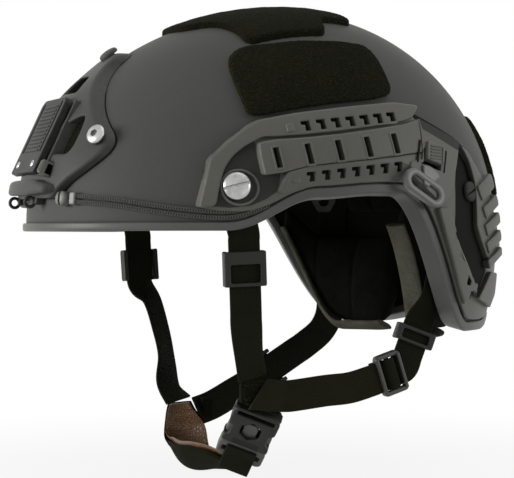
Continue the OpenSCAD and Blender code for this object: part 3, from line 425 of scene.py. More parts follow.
def sweep(path, side, up, section, closed=False):
    """A tube with the section's (side, up) points, which may change along the path."""
    n, k = len(path), section.shape[-2]
    if section.ndim == 2:
        section = np.broadcast_to(section, (n, k, 2))
    rings = n if closed else n - 1
    bm, u, v = grid(k, rings)
    j = np.rint(u * k).astype(int) % k
    i = np.rint(v * rings).astype(int) % n
    pts = path[i] + side[i] * section[i, j, 0][:, None] + up[i] * section[i, j, 1][:, None]
    move(bm, pts)
    bmesh.ops.remove_doubles(bm, verts=bm.verts, dist=SAME)
    if not closed:
        bmesh.ops.holes_fill(bm, edges=[e for e in bm.edges if e.is_boundary], sides=0)
    bmesh.ops.recalc_face_normals(bm, faces=bm.faces)
    return bm


def piece(name, bm, looks, body, nodes=(), sharp=50.0, even=True):
    """Makes the finished object: metres, smooth faces, sharp corners, its looks, body and slot."""
    bmesh.ops.scale(bm, vec=(0.001, 0.001, 0.001), verts=bm.verts)
    for f in bm.faces:
        f.smooth = True
    for e in bm.edges:
        if len(e.link_faces) == 2 and e.calc_face_angle(0.0) > math.radians(sharp):
            e.smooth = False
    mesh = bpy.data.meshes.new(name)
    bm.to_mesh(mesh)
    bm.free()
    for look in looks:
        mesh.materials.append(finish(look))
    obj = bpy.data.objects.new(name, mesh)
    bpy.context.scene.collection.objects.link(obj)
    if even:
        obj.modifiers.new("Even shading", "WEIGHTED_NORMAL").keep_sharp = True
    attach(obj, body)
    if nodes:
        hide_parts(*nodes)
    return obj


# Shared effects as node groups, and the finishes that use them


def feed(tree, socket, value):
    """Links the value to the socket, or sets it."""
    if isinstance(value, bpy.types.NodeSocket):
        tree.links.new(value, socket)
    else:
        socket.default_value = value


def node(tree, kind, inputs=None, **settings):
    made = tree.nodes.new(kind)
    for key, value in settings.items():
        setattr(made, key, value)
    for key, value in (inputs or {}).items():
        feed(tree, made.inputs[key], value)
    return made


def maths(tree, operation, a, b=0.5, clamp=False):
    return node(tree, "ShaderNodeMath", {0: a, 1: b}, operation=operation, use_clamp=clamp).outputs[0]


def spread(tree, value, low, high, to_low=0.0, to_high=1.0):
    return node(tree, "ShaderNodeMapRange", {"Value": value, "From Min": low, "From Max": high,
                                             "To Min": to_low, "To Max": to_high}).outputs["Result"]


def new_group(name, inputs, outputs):
    tree = bpy.data.node_groups.new(name, "ShaderNodeTree")
    for label, kind, default in inputs:
        socket = tree.interface.new_socket(label, in_out="INPUT", socket_type="NodeSocket" + kind)
        if default is not None:
            socket.default_value = default
    for label, kind in outputs:
        tree.interface.new_socket(label, in_out="OUTPUT", socket_type="NodeSocket" + kind)
    return tree, tree.nodes.new("NodeGroupInput").outputs, tree.nodes.new("NodeGroupOutput").inputs


def group_mottle():
    """Slow changes of tone over a surface, from 0 to 1."""
    tree, into, out = new_group("Mottle", [("Vector", "Vector", None), ("Scale", "Float", 30.0)],
                                [("Value", "Float")])
    wide = node(tree, "ShaderNodeTexNoise", {"Vector": into["Vector"], "Scale": into["Scale"], "Detail": 5.0,
                                             "Roughness": 0.62})
    tree.links.new(spread(tree, wide.outputs["Fac"], 0.3, 0.7), out["Value"])
    return tree


def group_grain():
    """The fine relief of a sand-textured or moulded surface."""
    tree, into, out = new_group("Grain", [("Vector", "Vector", None), ("Scale", "Float", 1400.0)],
                                [("Height", "Float"), ("Speck", "Float")])
    fine = node(tree, "ShaderNodeTexNoise", {"Vector": into["Vector"], "Scale": into["Scale"], "Detail": 3.0,
                                             "Roughness": 0.6})
    cells = node(tree, "ShaderNodeTexVoronoi", {"Vector": into["Vector"], "Scale": into["Scale"]},
                 feature="F1")
    pits = maths(tree, "MULTIPLY", cells.outputs["Distance"], 0.35)
    tree.links.new(maths(tree, "SUBTRACT", fine.outputs["Fac"], pits), out["Height"])
    tree.links.new(spread(tree, fine.outputs["Fac"], 0.42, 0.62), out["Speck"])
    return tree


def group_edge_scuff_and_light():
    """A mask that rises on rubbed corners, broken up by a coarse pattern."""
    tree, into, out = new_group("Wear", [("Vector", "Vector", None), ("Start", "Float", 0.52),
                                         ("Full", "Float", 0.60)], [("Mask", "Float")])
    corners = tree.nodes.new("ShaderNodeNewGeometry").outputs["Pointiness"]
    rough = node(tree, "ShaderNodeTexNoise", {"Vector": into["Vector"], "Scale": 240.0, "Detail": 4.0})
    patchy = spread(tree, rough.outputs["Fac"], 0.3, 0.65)
    scuffed_and_lit = spread(tree, corners, into["Start"], into["Full"])
    tree.links.new(maths(tree, "MULTIPLY", scuffed_and_lit, patchy, clamp=True), out["Mask"])
    return tree


def group_weave():
    """Webbing: slanted ribs of thread on the piece's own run and width, in millimetres."""
    tree, into, out = new_group("Weave", [("Vector", "Vector", None), ("Along", "Float", 1.1),
                                          ("Across", "Float", 1.4)],
                                [("Height", "Float"), ("Thread", "Float")])
    part = node(tree, "ShaderNodeSeparateXYZ", {"Vector": into["Vector"]})
    run = maths(tree, "DIVIDE", part.outputs["X"], into["Along"])
    row = maths(tree, "DIVIDE", part.outputs["Y"], into["Across"])
    lean = maths(tree, "MULTIPLY", maths(tree, "PINGPONG", row, 1.0), 0.9)
    thread, column = (maths(tree, "ABSOLUTE", maths(tree, "SINE", maths(tree, "MULTIPLY", value, math.pi)))
                      for value in (maths(tree, "ADD", run, lean), row))
    rounded = maths(tree, "ADD", 0.45, maths(tree, "MULTIPLY", column, 0.55))
    lifted = maths(tree, "MULTIPLY", maths(tree, "POWER", thread, 0.7), rounded)
    fuzz = node(tree, "ShaderNodeTexNoise", {"Vector": into["Vector"], "Scale": 2.2, "Detail": 3.0})
    frayed = maths(tree, "MULTIPLY", fuzz.outputs["Fac"], 0.3)
    tree.links.new(maths(tree, "ADD", lifted, frayed), out["Height"])
    tree.links.new(maths(tree, "MULTIPLY", lifted, fuzz.outputs["Fac"]), out["Thread"])
    return tree


def group_pile():
    """Loop pile: small tangled loops with light specks between dark gaps."""
    tree, into, out = new_group("Pile", [("Vector", "Vector", None), ("Scale", "Float", 900.0)],
                                [("Height", "Float"), ("Speck", "Float")])
    bend = node(tree, "ShaderNodeTexNoise", {"Vector": into["Vector"], "Scale": 420.0, "Detail": 2.0})
    drift = node(tree, "ShaderNodeVectorMath", {0: bend.outputs["Color"], 1: (0.004, 0.004, 0.004)},
                 operation="MULTIPLY")
    tangled = node(tree, "ShaderNodeVectorMath", {0: into["Vector"], 1: drift.outputs["Vector"]},
                   operation="ADD")
    loops = node(tree, "ShaderNodeTexVoronoi", {"Vector": tangled.outputs["Vector"], "Scale": into["Scale"]},
                 feature="DISTANCE_TO_EDGE")
    tufts = node(tree, "ShaderNodeTexNoise", {"Vector": into["Vector"], "Scale": into["Scale"], "Detail": 4.0,
                                              "Roughness": 0.75})
    gaps = spread(tree, loops.outputs["Distance"], 0.0, 0.35)
    tree.links.new(maths(tree, "ADD", gaps, tufts.outputs["Fac"]), out["Height"])
    tree.links.new(spread(tree, tufts.outputs["Fac"], 0.5, 0.72), out["Speck"])
    return tree


GROUP_MAKERS = {"Mottle": group_mottle, "Grain": group_grain, "Wear": group_edge_scuff_and_light, "Weave": group_weave,
                "Pile": group_pile}
GROUPS = {}


def use(tree, name, **inputs):
    """A node group's outputs, with the group made once."""
    if name not in GROUPS:
        GROUPS[name] = GROUP_MAKERS[name]()
    return node(tree, "ShaderNodeGroup", inputs, node_tree=GROUPS[name]).outputs


FINISHES = {}


def start(name, **shader):
    """A new material with its shader."""
    material = bpy.data.materials.new(name)
    material.use_nodes = True
    tree = material.node_tree
    tree.nodes.clear()
    out = tree.nodes.new("ShaderNodeOutputMaterial")
    bsdf = tree.nodes.new("ShaderNodeBsdfPrincipled")
    tree.links.new(bsdf.outputs["BSDF"], out.inputs["Surface"])
    for key, value in shader.items():
        bsdf.inputs[key.replace("_", " ")].default_value = value
    return material, tree, bsdf


def surface(tree):
    return tree.nodes.new("ShaderNodeTexCoord").outputs["Object"]


def own_run(tree):
    return node(tree, "ShaderNodeAttribute", attribute_name="run").outputs["Vector"]


def mix(tree, factor, a, b):
    return node(tree, "ShaderNodeMix", {0: factor, 6: a, 7: b}, data_type="RGBA").outputs[2]


def shade(rgb, k):
    return tuple(min(1.0, c * k) for c in rgb[:3]) + (1.0,)


def bump(tree, bsdf, height, distance):
    made = node(tree, "ShaderNodeBump", {"Height": height, "Distance": distance, "Strength": 1.0})
    tree.links.new(made.outputs["Normal"], bsdf.inputs["Normal"])


def finish_moulded(name, rgb, rough=0.5, grain=1500.0, depth=0.00006, wear=1.35, gloss=0.5, edge_from=0.53,
                   edge_full=0.62, change=0.1):
    """A coated or moulded surface: fine grain, slow changes of tone and lighter rubbed corners."""
    material, tree, bsdf = start(name, Specular_IOR_Level=gloss)
    at = surface(tree)
    fine = use(tree, "Grain", Vector=at, Scale=grain)
    slow = use(tree, "Mottle", Vector=at, Scale=34.0)
    edges_scuffed_and_lit = use(tree, "Wear", Vector=at, Start=edge_from, Full=edge_full)
    body = mix(tree, slow["Value"], shade(rgb, 1.0 - change), shade(rgb, 1.0 + change))
    flecked = mix(tree, maths(tree, "MULTIPLY", fine["Speck"], 0.35), body, shade(rgb, 1.25))
    # Corners lighter by the corner mask: partly scuffing, partly a painted highlight
    tree.links.new(mix(tree, edges_scuffed_and_lit["Mask"], flecked, shade(rgb, wear)), bsdf.inputs["Base Color"])
    tree.links.new(spread(tree, slow["Value"], 0.0, 1.0, rough - 0.05, rough + 0.07),
                   bsdf.inputs["Roughness"])
    bump(tree, bsdf, fine["Height"], depth)
    return material


def finish_steel(name, rgb, rough=0.28):
    """Turned steel: fine rings of tool marks, a little soiled in the low places."""
    material, tree, bsdf = start(name, Specular_IOR_Level=0.5, Metallic=1.0)
    at = surface(tree)
    slow = use(tree, "Mottle", Vector=at, Scale=160.0)
    fine = use(tree, "Grain", Vector=at, Scale=2600.0)
    edges_scuffed_and_lit = use(tree, "Wear", Vector=at, Start=0.44, Full=0.52)
    soiled = mix(tree, slow["Value"], shade(rgb, 0.78), rgb)
    # Darker away from the corners, most in the low places
    tree.links.new(mix(tree, edges_scuffed_and_lit["Mask"], shade(rgb, 0.6), soiled), bsdf.inputs["Base Color"])
    tree.links.new(spread(tree, slow["Value"], 0.0, 1.0, rough, rough + 0.14), bsdf.inputs["Roughness"])
    bump(tree, bsdf, fine["Height"], 0.00002)
    return material


def finish_woven(name, rgb, along=1.1, across=1.4, depth=0.0002):
    """Woven webbing on the piece's own run and width."""
    material, tree, bsdf = start(name, Specular_IOR_Level=0.1, Roughness=0.85, Sheen_Weight=0.05,
                                     Sheen_Roughness=0.5, Sheen_Tint=(0.6, 0.6, 0.5, 1.0))
    at = surface(tree)
    weave = use(tree, "Weave", Vector=own_run(tree), Along=along, Across=across)
    slow = use(tree, "Mottle", Vector=at, Scale=60.0)
    edges_scuffed_and_lit = use(tree, "Wear", Vector=at, Start=0.55, Full=0.7)
    threads = mix(tree, weave["Thread"], shade(rgb, 0.35), shade(rgb, 2.6))
    tinted = mix(tree, maths(tree, "MULTIPLY", slow["Value"], 0.4), threads, shade(rgb, 1.8))
    # Edges lighter by the corner mask: partly scuffing, partly a painted highlight
    tree.links.new(mix(tree, maths(tree, "MULTIPLY", edges_scuffed_and_lit["Mask"], 0.6), tinted, shade(rgb, 4.5)),
                   bsdf.inputs["Base Color"])
    bump(tree, bsdf, weave["Height"], depth)
    return material


def finish_pile(name, rgb):
    """Loop pile with dark gaps and paler tips."""
    material, tree, bsdf = start(name, Specular_IOR_Level=0.05, Roughness=0.95, Sheen_Weight=0.08,
                                     Sheen_Roughness=0.6, Sheen_Tint=(0.5, 0.5, 0.35, 1.0))
    at = surface(tree)
    pile = use(tree, "Pile", Vector=at, Scale=820.0)
    slow = use(tree, "Mottle", Vector=at, Scale=45.0)
    deep = mix(tree, slow["Value"], shade(rgb, 0.45), shade(rgb, 0.95))
    tree.links.new(mix(tree, pile["Speck"], deep, shade(rgb, 3.6)), bsdf.inputs["Base Color"])
    bump(tree, bsdf, pile["Height"], 0.0009)
    return material


def finish_cloth(name, rgb, scale=1100.0, sheen=0.06):
    """Brushed knit over foam, with a faint nap."""
    material, tree, bsdf = start(name, Specular_IOR_Level=0.06, Roughness=0.92, Sheen_Weight=sheen,
                                     Sheen_Roughness=0.5, Sheen_Tint=(0.5, 0.5, 0.4, 1.0))
    at = surface(tree)
    pile = use(tree, "Pile", Vector=at, Scale=scale)
    slow = use(tree, "Mottle", Vector=at, Scale=50.0)
    base = mix(tree, slow["Value"], shade(rgb, 0.6), shade(rgb, 1.7))
    tree.links.new(mix(tree, maths(tree, "MULTIPLY", pile["Speck"], 0.5), base, shade(rgb, 3.0)),
                   bsdf.inputs["Base Color"])
    bump(tree, bsdf, pile["Height"], 0.0003)
    return material


def finish_leather(name, rgb):
    """Smooth grain leather: pebbled cells, soft creases and a warm change of tone."""
    material, tree, bsdf = start(name, Specular_IOR_Level=0.5)
    at = surface(tree)
    cells = node(tree, "ShaderNodeTexVoronoi", {"Vector": at, "Scale": 750.0}, feature="DISTANCE_TO_EDGE")
    slow = use(tree, "Mottle", Vector=at, Scale=90.0)
    fine = use(tree, "Grain", Vector=at, Scale=1900.0)
    creases = spread(tree, cells.outputs["Distance"], 0.0, 0.16)
    warm = mix(tree, slow["Value"], shade(rgb, 0.6), shade(rgb, 1.5))
    tree.links.new(mix(tree, creases, shade(rgb, 0.55), warm), bsdf.inputs["Base Color"])
    tree.links.new(spread(tree, slow["Value"], 0.0, 1.0, 0.34, 0.5), bsdf.inputs["Roughness"])
    bump(tree, bsdf, maths(tree, "ADD", creases, maths(tree, "MULTIPLY", fine["Height"], 0.5)), 0.00012)
    return material


def finish_braid(name, rgb):
    """A braided cord: crossing strands along its own run."""
    material, tree, bsdf = start(name, Specular_IOR_Level=0.25, Roughness=0.85, Sheen_Weight=0.1)
    at = own_run(tree)
    part = node(tree, "ShaderNodeSeparateXYZ", {"Vector": at})
    turn = maths(tree, "MULTIPLY", part.outputs["Y"], math.tau * 2)
    run = maths(tree, "MULTIPLY", part.outputs["X"], 4.5)
    strands = maths(tree, "MAXIMUM", maths(tree, "SINE", maths(tree, "ADD", run, turn)),
                    maths(tree, "SINE", maths(tree, "SUBTRACT", run, turn)))
    level = spread(tree, strands, -0.2, 1.0)
    tree.links.new(mix(tree, level, shade(rgb, 0.4), shade(rgb, 2.2)), bsdf.inputs["Base Color"])
    bump(tree, bsdf, level, 0.00025)
    return material


BRIGHT_STEEL = (0.85, 0.85, 0.83)
# Each finish: its maker, its colour from the settings, a share of that colour, and what is unusual
LOOKS = {
    "coat": (finish_moulded, "coat", 1.0, {"rough": 0.55, "grain": 1700.0, "depth": 0.00009, "wear": 1.2,
                                           "gloss": 0.1, "edge_from": 0.6, "edge_full": 0.75, "change": 0.05}),
    "rail": (finish_moulded, "rail", 1.0, {"rough": 0.46, "wear": 1.5, "gloss": 0.3, "edge_from": 0.51,
                                           "edge_full": 0.58, "change": 0.08}),
    # recess: a near-black share of the rail's colour, painted shade in slots, gaps, grooves and channels; the
    # shell's inside takes it too
    "recess": (finish_moulded, "rail", 0.12, {"rough": 0.8, "grain": 900.0, "depth": 0.0001, "wear": 1.3,
                                              "gloss": 0.08}),
    # field: a darker share of the rail's colour, painted shade on the rail's front end and along the rear
    # block's edge; the rear screws take it too
    "field": (finish_moulded, "rail", 0.36, {"rough": 0.6, "wear": 1.3, "gloss": 0.15}),
    "shroud": (finish_moulded, "shroud", 1.0, {"grain": 1400.0, "wear": 1.5, "gloss": 0.2, "edge_from": 0.52,
                                               "edge_full": 0.6}),
    "plate": (finish_moulded, "plate", 1.0, {"rough": 0.45, "grain": 1400.0, "depth": 0.00005, "wear": 1.8,
                                             "gloss": 0.12, "edge_from": 0.51, "edge_full": 0.58}),
    "button": (finish_moulded, "rail", 1.0, {"rough": 0.45, "grain": 1400.0, "depth": 0.00005, "wear": 1.5}),
    "edging": (finish_moulded, "edging", 1.0, {"rough": 0.42, "grain": 1900.0, "depth": 0.00003, "wear": 1.5,
                                               "gloss": 0.3, "edge_from": 0.52, "edge_full": 0.6}),
    "moulded": (finish_moulded, "moulded", 1.0, {"rough": 0.42, "grain": 1600.0, "depth": 0.00004,
                                                 "wear": 2.6, "gloss": 0.25, "edge_from": 0.54,
                                                 "edge_full": 0.64, "change": 0.05}),
    "lock": (finish_moulded, "moulded", 2.2, {"rough": 0.42, "grain": 1600.0, "depth": 0.00004, "wear": 2.0,
                                              "change": 0.05}),
    "prongs": (finish_moulded, "rail", 0.8, {"rough": 0.42, "grain": 1600.0, "depth": 0.00004, "wear": 1.6}),
    "ring": (finish_moulded, "ring", 1.0, {"rough": 0.38, "grain": 1800.0, "depth": 0.00003, "wear": 1.5,
                                           "edge_from": 0.52, "edge_full": 0.6}),
    "toggle": (finish_moulded, "ring", 1.5, {"rough": 0.4, "grain": 1600.0, "depth": 0.00003, "wear": 1.3}),
    "steel": (finish_steel, "steel", 1.0, {}),
    "bright": (finish_steel, BRIGHT_STEEL, 1.0, {"rough": 0.15}),
    "pile": (finish_pile, "pile", 1.0, {}),
    "hooks": (finish_pile, "pile", 0.6, {}),
    "hem": (finish_cloth, "lining", 14.0, {"scale": 1500.0, "sheen": 0.1}),
    "seam": (finish_cloth, "leather", 2.6, {"scale": 1500.0, "sheen": 0.1}),
    "thread": (finish_cloth, "webbing", 4.0, {"scale": 1500.0}),
    "lining": (finish_cloth, "lining", 1.0, {}),
    "cup": (finish_cloth, "webbing", 0.8, {"scale": 1300.0, "sheen": 0.04}),
    "webbing": (finish_woven, "webbing", 1.0, {}),
    "elastic": (finish_woven, "webbing", 1.5, {"along": 0.9, "across": 0.9, "depth": 0.00025}),
    "leather": (finish_leather, "leather", 1.0, {}),
    "braid": (finish_braid, "coat", 0.55, {}),
}


def finish(name):
    """The named finish, made once."""
    if name not in FINISHES:
        maker, source, share, options = LOOKS[name]
        rgb = colour(source) if isinstance(source, str) else source
        FINISHES[name] = maker(name, shade(rgb, share), **options)
    return FINISHES[name]


# Shell, edging and loop pile


TURNS, ROWS = 200, 56
POLE_MERGE = 0.01


def build_shell():
    dome = Dome()
    bm, u, v = grid(TURNS, ROWS)
    turn = u * 360.0
    low = dome.rim_tilt(turn)
    move(bm, dome.polar(low + (90.0 - low) * v, turn, 0.0))
    bmesh.ops.remove_doubles(bm, verts=bm.verts, dist=POLE_MERGE)
    bmesh.ops.recalc_face_normals(bm, faces=bm.faces)
    obj = piece("shell_coat", bm, ["coat", "recess"], "helmet", ["shell"], even=False)
    wall = obj.modifiers.new("Wall", "SOLIDIFY")
    wall.thickness = dome.wall_t / 1000.0
    wall.offset = -1.0
    wall.material_offset = 1


def rim_path(dome, steps):
    turn = np.arange(steps) * 360.0 / steps
    rim = dome.polar(dome.rim_tilt(turn), turn, 0.0)
    out = dome.normal(rim)
    return rim, out, unit(np.cross(out, headings(rim, closed=True)))


RIM_STEPS = 320
RIM_GAP = 0.6
RIM_DEEP = 0.8


def build_edging():
    dome = Dome()
    rim, out, up = rim_path(dome, RIM_STEPS)
    t = mm("shell", "edging")
    leg = mm("shell", "edging_leg") * (0.75 + 0.25 * ease(-72, -26, rim[:, 1]))
    gap, deep = RIM_GAP, dome.wall_t + RIM_DEEP
    outer, inner, foot = gap + t, -deep - t, -gap - t
    outline = [(gap, 0.0, 0.9), (gap, 0.1, 1.0), (gap + 0.35, 0.35, 1.0), (gap + 0.9, 0.1, 1.0),
               (outer, -0.5, 1.0), (outer + 0.05, 0.0, 0.0), (outer, -1.1, 0.0), (outer - 0.35, -1.65, 0.0),
               (outer - 1.0, foot, 0.0), (-deep + 0.2, foot, 0.0), (inner + 0.4, -1.65, 0.0),
               (inner, -1.1, 0.0), (inner, -0.5, 1.0), (inner + 0.4, 0.0, 1.0), (-deep, 0.0, 1.0),
               (-deep, -gap, 0.0), (gap, -gap, 0.0)]
    section = np.zeros((RIM_STEPS, len(outline), 2))
    for j, (a, b, k) in enumerate(outline):
        section[:, j] = np.stack(np.broadcast_arrays(a, b + k * leg), -1)
    bm = bmesh.new()
    collect(bm, sweep(rim, out, up, section, closed=True))
    piece("edging_strip", bm, ["edging"], "helmet", ["edge_trim"], sharp=60)


CROWN = [(-58, -46), (-44, -48), (-30, -54), (-18, -68), (-6, -71), (6, -71), (18, -68), (30, -54), (44, -48),
         (58, -46), (58, 0), (42, 3), (39, 24), (-39, 24), (-42, 3), (-58, 0)]
SIDE = [(-51, 93.5), (-60, 86), (-61, 73.5), (-59, 61), (-58, 54.5), (-49, 55.5), (-35, 58.5), (-13, 62),
        (12, 65), (22, 67.5), (25, 72), (23, 90), (19, 96.5), (3, 98), (-20, 97.5)]
REAR = [(-46, 16), (46, 16), (44, 44), (30, 62), (-30, 62), (-44, 44)]


def ragged(place, amount):
    """A place whose surface and outline are slightly uneven, as cut pile is."""
    def put(u, v, h):
        wave = np.sin(u * 1.93 + v * 0.7) * np.sin(v * 2.31 - u * 0.4) + 0.5 * np.sin(u * 4.1 + v * 3.7)
        return place(u + amount * 0.5 * np.sin(v * 3.1 + u), v + amount * 0.5 * np.sin(u * 2.7 - v),
                     h + np.where(h > 1.6, amount * 0.35 * wave, 0.0))
    return put


def build_patches():
    dome = Dome()
    high = 0.9 + mm("shell", "pile")
    jobs = [("pile_crown", CROWN, dome.at_top, "crown_patch", False),
            ("pile_side_left", SIDE, dome.at_side, "side_patch_left", False),
            ("pile_side_right", SIDE, dome.at_side, "side_patch_right", True),
            ("pile_rear", REAR, dome.at_rear, "rear_patch", False)]
    for name, loop, place, cad, flip in jobs:
        bm = bmesh.new()
        collect(bm, slab(loop, 0.2, high, edge=0.9, radius=4.5, arc=5, segments=3, step=1.5,
                         place=ragged(place, 0.35)), flip=flip)
        piece(name, bm, ["pile"], "helmet", [cad], sharp=70, even=False)


# Front shroud

PLATE_Z = 47.0
PLATE_TILT = 25.4
PLATE_LIFT = 8.0
SHROUD = [(7, 93), (11.5, 90), (13.5, 84.5), (20, 76.8), (29, 67.8), (37.3, 59.2), (44.5, 52.2), (51.3, 46),
          (54, 41.5), (53.6, 36.5), (50.5, 32), (45, 26.5), (38.5, 21.5), (34.5, 17.5), (31, 12.5)]
WINDOW = [(21.5, 36.2), (21, 45), (23.5, 51.5), (29, 55), (34.5, 56.5), (36.5, 52), (37.5, 46), (37, 39),
          (34.5, 35.8)]
TOP_WINDOW = [(-13, 70), (-9, 79), (9, 79), (13, 70)]
LIP = [(-33, 15.5), (-20, 14.5), (20, 14.5), (33, 15.5), (33, 19.5), (22, 22.5), (-22, 22.5), (-33, 19.5)]
TOP_BOLT = (0.0, 87.5)
SIDE_BOLT = (46.0, 43.0)
SHROUD_LOW = 0.3
SHROUD_SEAT = 0.9
GROOVE_X = 16.4
SCREW_X, SCREW_Y = 13.6, -17.5
RELEASE_Y = -18.5
RING_X = 15.0


def plate_frame(dome):
    mid = Vector(dome.at_front(0.0, PLATE_Z, 0.0)) + Vector((0, -PLATE_LIFT, 0))
    return Matrix.Translation(mid) @ Matrix.Rotation(math.radians(90.0 - PLATE_TILT), 4, "X")


def mirrored_loop(loop):
    return [(-x, z) for x, z in reversed(loop)]


# Half of a pan head's outline, in shares of its radius and height
PAN_HEAD = [(0, 0), (0.96, 0), (1, 0.12), (1, 0.42), (0.975, 0.56), (0.9, 0.72), (0.78, 0.85), (0.6, 0.94),
            (0.4, 0.985), (0.2, 1), (0, 1)]


def button_head(head_d, flange_t, slot, hexagon=False, steps=56):
    """A pan head with its rim, dome and recess, standing on height 0."""
    r = head_d / 2
    bm = lathe([(r * a, flange_t * b) for a, b in PAN_HEAD], steps)
    if hexagon:
        half = head_d * 0.17
        planes = [(Vector((math.cos(a), math.sin(a), 0)) * half, Vector((math.cos(a), math.sin(a), 0)))
                  for a in (math.radians(60 * k) for k in range(6))]
        sink(bm, planes, lambda c: all((c - co).dot(no) < 0 and c.z > 0.1 for co, no in planes),
             flange_t * 0.3)
    else:
        a = math.radians(slot)
        across = Vector((-math.sin(a), math.cos(a), 0))
        half = head_d * 0.055
        planes = [(across * half, across), (-across * half, -across)]
        sink(bm, planes, lambda c: abs(c.dot(across)) < half and c.z > flange_t * 0.5, flange_t * 0.45)
    return bm


def shroud_frame(dome, m, plate_w, plate_l, plate_t):
    outline = SHROUD + mirrored_loop(SHROUD)
    windows = [WINDOW, mirrored_loop(WINDOW), TOP_WINDOW]
    high = SHROUD_SEAT + mm("rail", "shroud")
    bm = bmesh.new()

    def crest(x, z):
        middle = np.exp(-(x / 26.0) ** 2) * ease(18, 36, z) * (1.0 - ease(64, 86, z))
        return high + 1.6 * middle - 1.4 * ease(34, 60, np.abs(x)) + 0.6
    collect(bm, slab(outline, SHROUD_LOW, high, edge=1.3, radius=3.5, arc=4, segments=3, step=3.0,
                     holes=windows, hole_radius=2.5, place=dome.at_front, tall=crest))
    flat(bm, m, box_loop(plate_w - 6.0, plate_l - 3.0), -plate_t - 16.0, -plate_t - 0.2, edge=1.2, radius=3.0)
    for x in (-plate_w / 2 - 2.3, plate_w / 2 + 2.3):
        cheek = box_loop(1.8, plate_l - 5.0, x, 2.5)
        flat(bm, m, cheek, -plate_t - 7.5, -plate_t - 0.6, edge=0.6, radius=0.8)
        # A near-black slab in the gap beside each cheek: painted shade
        gap = box_loop(1.6, plate_l - 6.0, x * 0.97 - math.copysign(0.9, x), 2.0)
        flat(bm, m, gap, -plate_t - 9.0, -plate_t - 3.2, edge=0.0, radius=0.4, paint=2)
    shadow = [(x * 1.013, z - 0.35) for x, z in outline]
    collect(bm, slab(shadow, 0.1, 0.55, edge=0.1, radius=3.5, arc=4, step=3.0, place=dome.at_front), paint=2)
    for loop in windows:
        cx, cz = (sum(p[k] for p in loop) / len(loop) for k in (0, 1))
        wide = [(cx + (x - cx) * 1.2, cz + (z - cz) * 1.15) for x, z in loop]
        collect(bm, slab(wide, 0.2, 1.1, edge=0.2, radius=2.0, step=3.0, place=dome.at_front), paint=1)
    piece("shroud_frame", bm, ["shroud", "pile", "recess"], "helmet", ["shroud"])


def insert_plate(m, plate_w, plate_l, plate_t):
    bm = bmesh.new()
    half, end = plate_w / 2, plate_l / 2
    grooves = [box_loop(2.2, plate_l - 15.0, s * GROOVE_X, 5.0) for s in (-1, 1)]
    outline = [(-half, -end), (half, -end), (half, end - 3.0), (half - 3.0, end), (-half + 3.0, end),
               (-half, end - 3.0)]
    flat(bm, m, outline, -plate_t, 0.0, edge=0.55, radius=1.2, holes=grooves, hole_radius=0.7)
    y = -end + 13.2
    while y < end - 5.0:
        flat(bm, m, box_loop(24.5, 1.15, 0.0, y), -0.3, 0.4, edge=0.3, radius=0.3)
        y += 2.4
    # A near-black slab under the ribs: painted shade between them
    flat(bm, m, box_loop(27.5, plate_l - 15.0, 0.0, 3.6), -1.5, -0.02, edge=0.0, radius=1.0, paint=1)
    # Near-black strips in the floors of the grooves: painted shade
    for s in (-1, 1):
        groove = box_loop(3.0, plate_l - 14.0, s * GROOVE_X, 5.0)
        flat(bm, m, groove, -plate_t + 0.1, -plate_t + 0.7, edge=0.0, radius=0.3, paint=1)
    piece("shroud_insert", bm, ["plate", "recess"], "helmet", ["shroud_plate"])
    bm = bmesh.new()
    for side in (-1, 1):
        at = m @ Matrix.Translation((side * SCREW_X, SCREW_Y, -0.25))
        seat(bm, at, button_head(4.0, 1.0, 35.0, steps=32))
    piece("insert_screws", bm, ["bright"], "helmet", ["plate_screws"])


def release_block(m, plate_w, plate_t):
    bm = bmesh.new()
    out = plate_w / 2 + 6.4
    head_in = plate_w / 2 + 2.4
    shank_loop = box_loop(out - 15.0, 8.0, (out + 15.0) / 2, RELEASE_Y)
    flat(bm, m, shank_loop, -7.6, -plate_t - 0.4, edge=0.5, radius=0.8)
    head_loop = box_loop(out - head_in, 8.0, (out + head_in) / 2, RELEASE_Y)
    flat(bm, m, head_loop, -7.6, -1.2, edge=0.9, radius=1.2)
    for k in (-1, 0, 1):
        flat(bm, m, box_loop(0.7, 6.0, out - 2.0 + k * 1.25, RELEASE_Y), -1.4, -0.9, edge=0.2, radius=0.2)
    piece("release_block", bm, ["button"], "release_button", ["release_button"])


def lanyard_rings(dome):
    bm = bmesh.new()
    for side in (-1, 1):
        centre = dome.at_front(side * RING_X, 10.6, 7.2)
        ring = bmesh.new()
        bmesh.ops.create_circle(ring, segments=14, radius=0.9, cap_ends=False,
                                matrix=Matrix.Translation((2.6, 0, 0)) @ Matrix.Rotation(math.pi / 2, 4, "X"))
        bmesh.ops.spin(ring, geom=ring.verts[:] + ring.edges[:], cent=(0, 0, 0), axis=(0, 0, 1),
                       dvec=(0, 0, 0), angle=math.tau, steps=28, use_merge=True)
        bmesh.ops.remove_doubles(ring, verts=ring.verts, dist=SAME)
        seat(bm, Matrix.Translation(centre) @ Matrix.Rotation(math.pi / 2, 4, "Y"), ring)
        left, right = side * RING_X - 3.2, side * RING_X + 3.2
        base = [(left, 9.2), (right, 9.2), (right, 15.5), (left, 15.5)]
        collect(bm, slab(base, 1.2, 5.4, edge=0.8, radius=1.2, step=3.0, place=dome.at_front))
    piece("lanyard_rings", bm, ["moulded"], "helmet", ["lanyard_hooks"])


def shank(low):
    """The plain part of a bolt, from its head down into the shell."""
    return lathe([(0, -low - 9), (3.0, -low - 9), (3.0, 0.1), (0, 0.1)], 24)


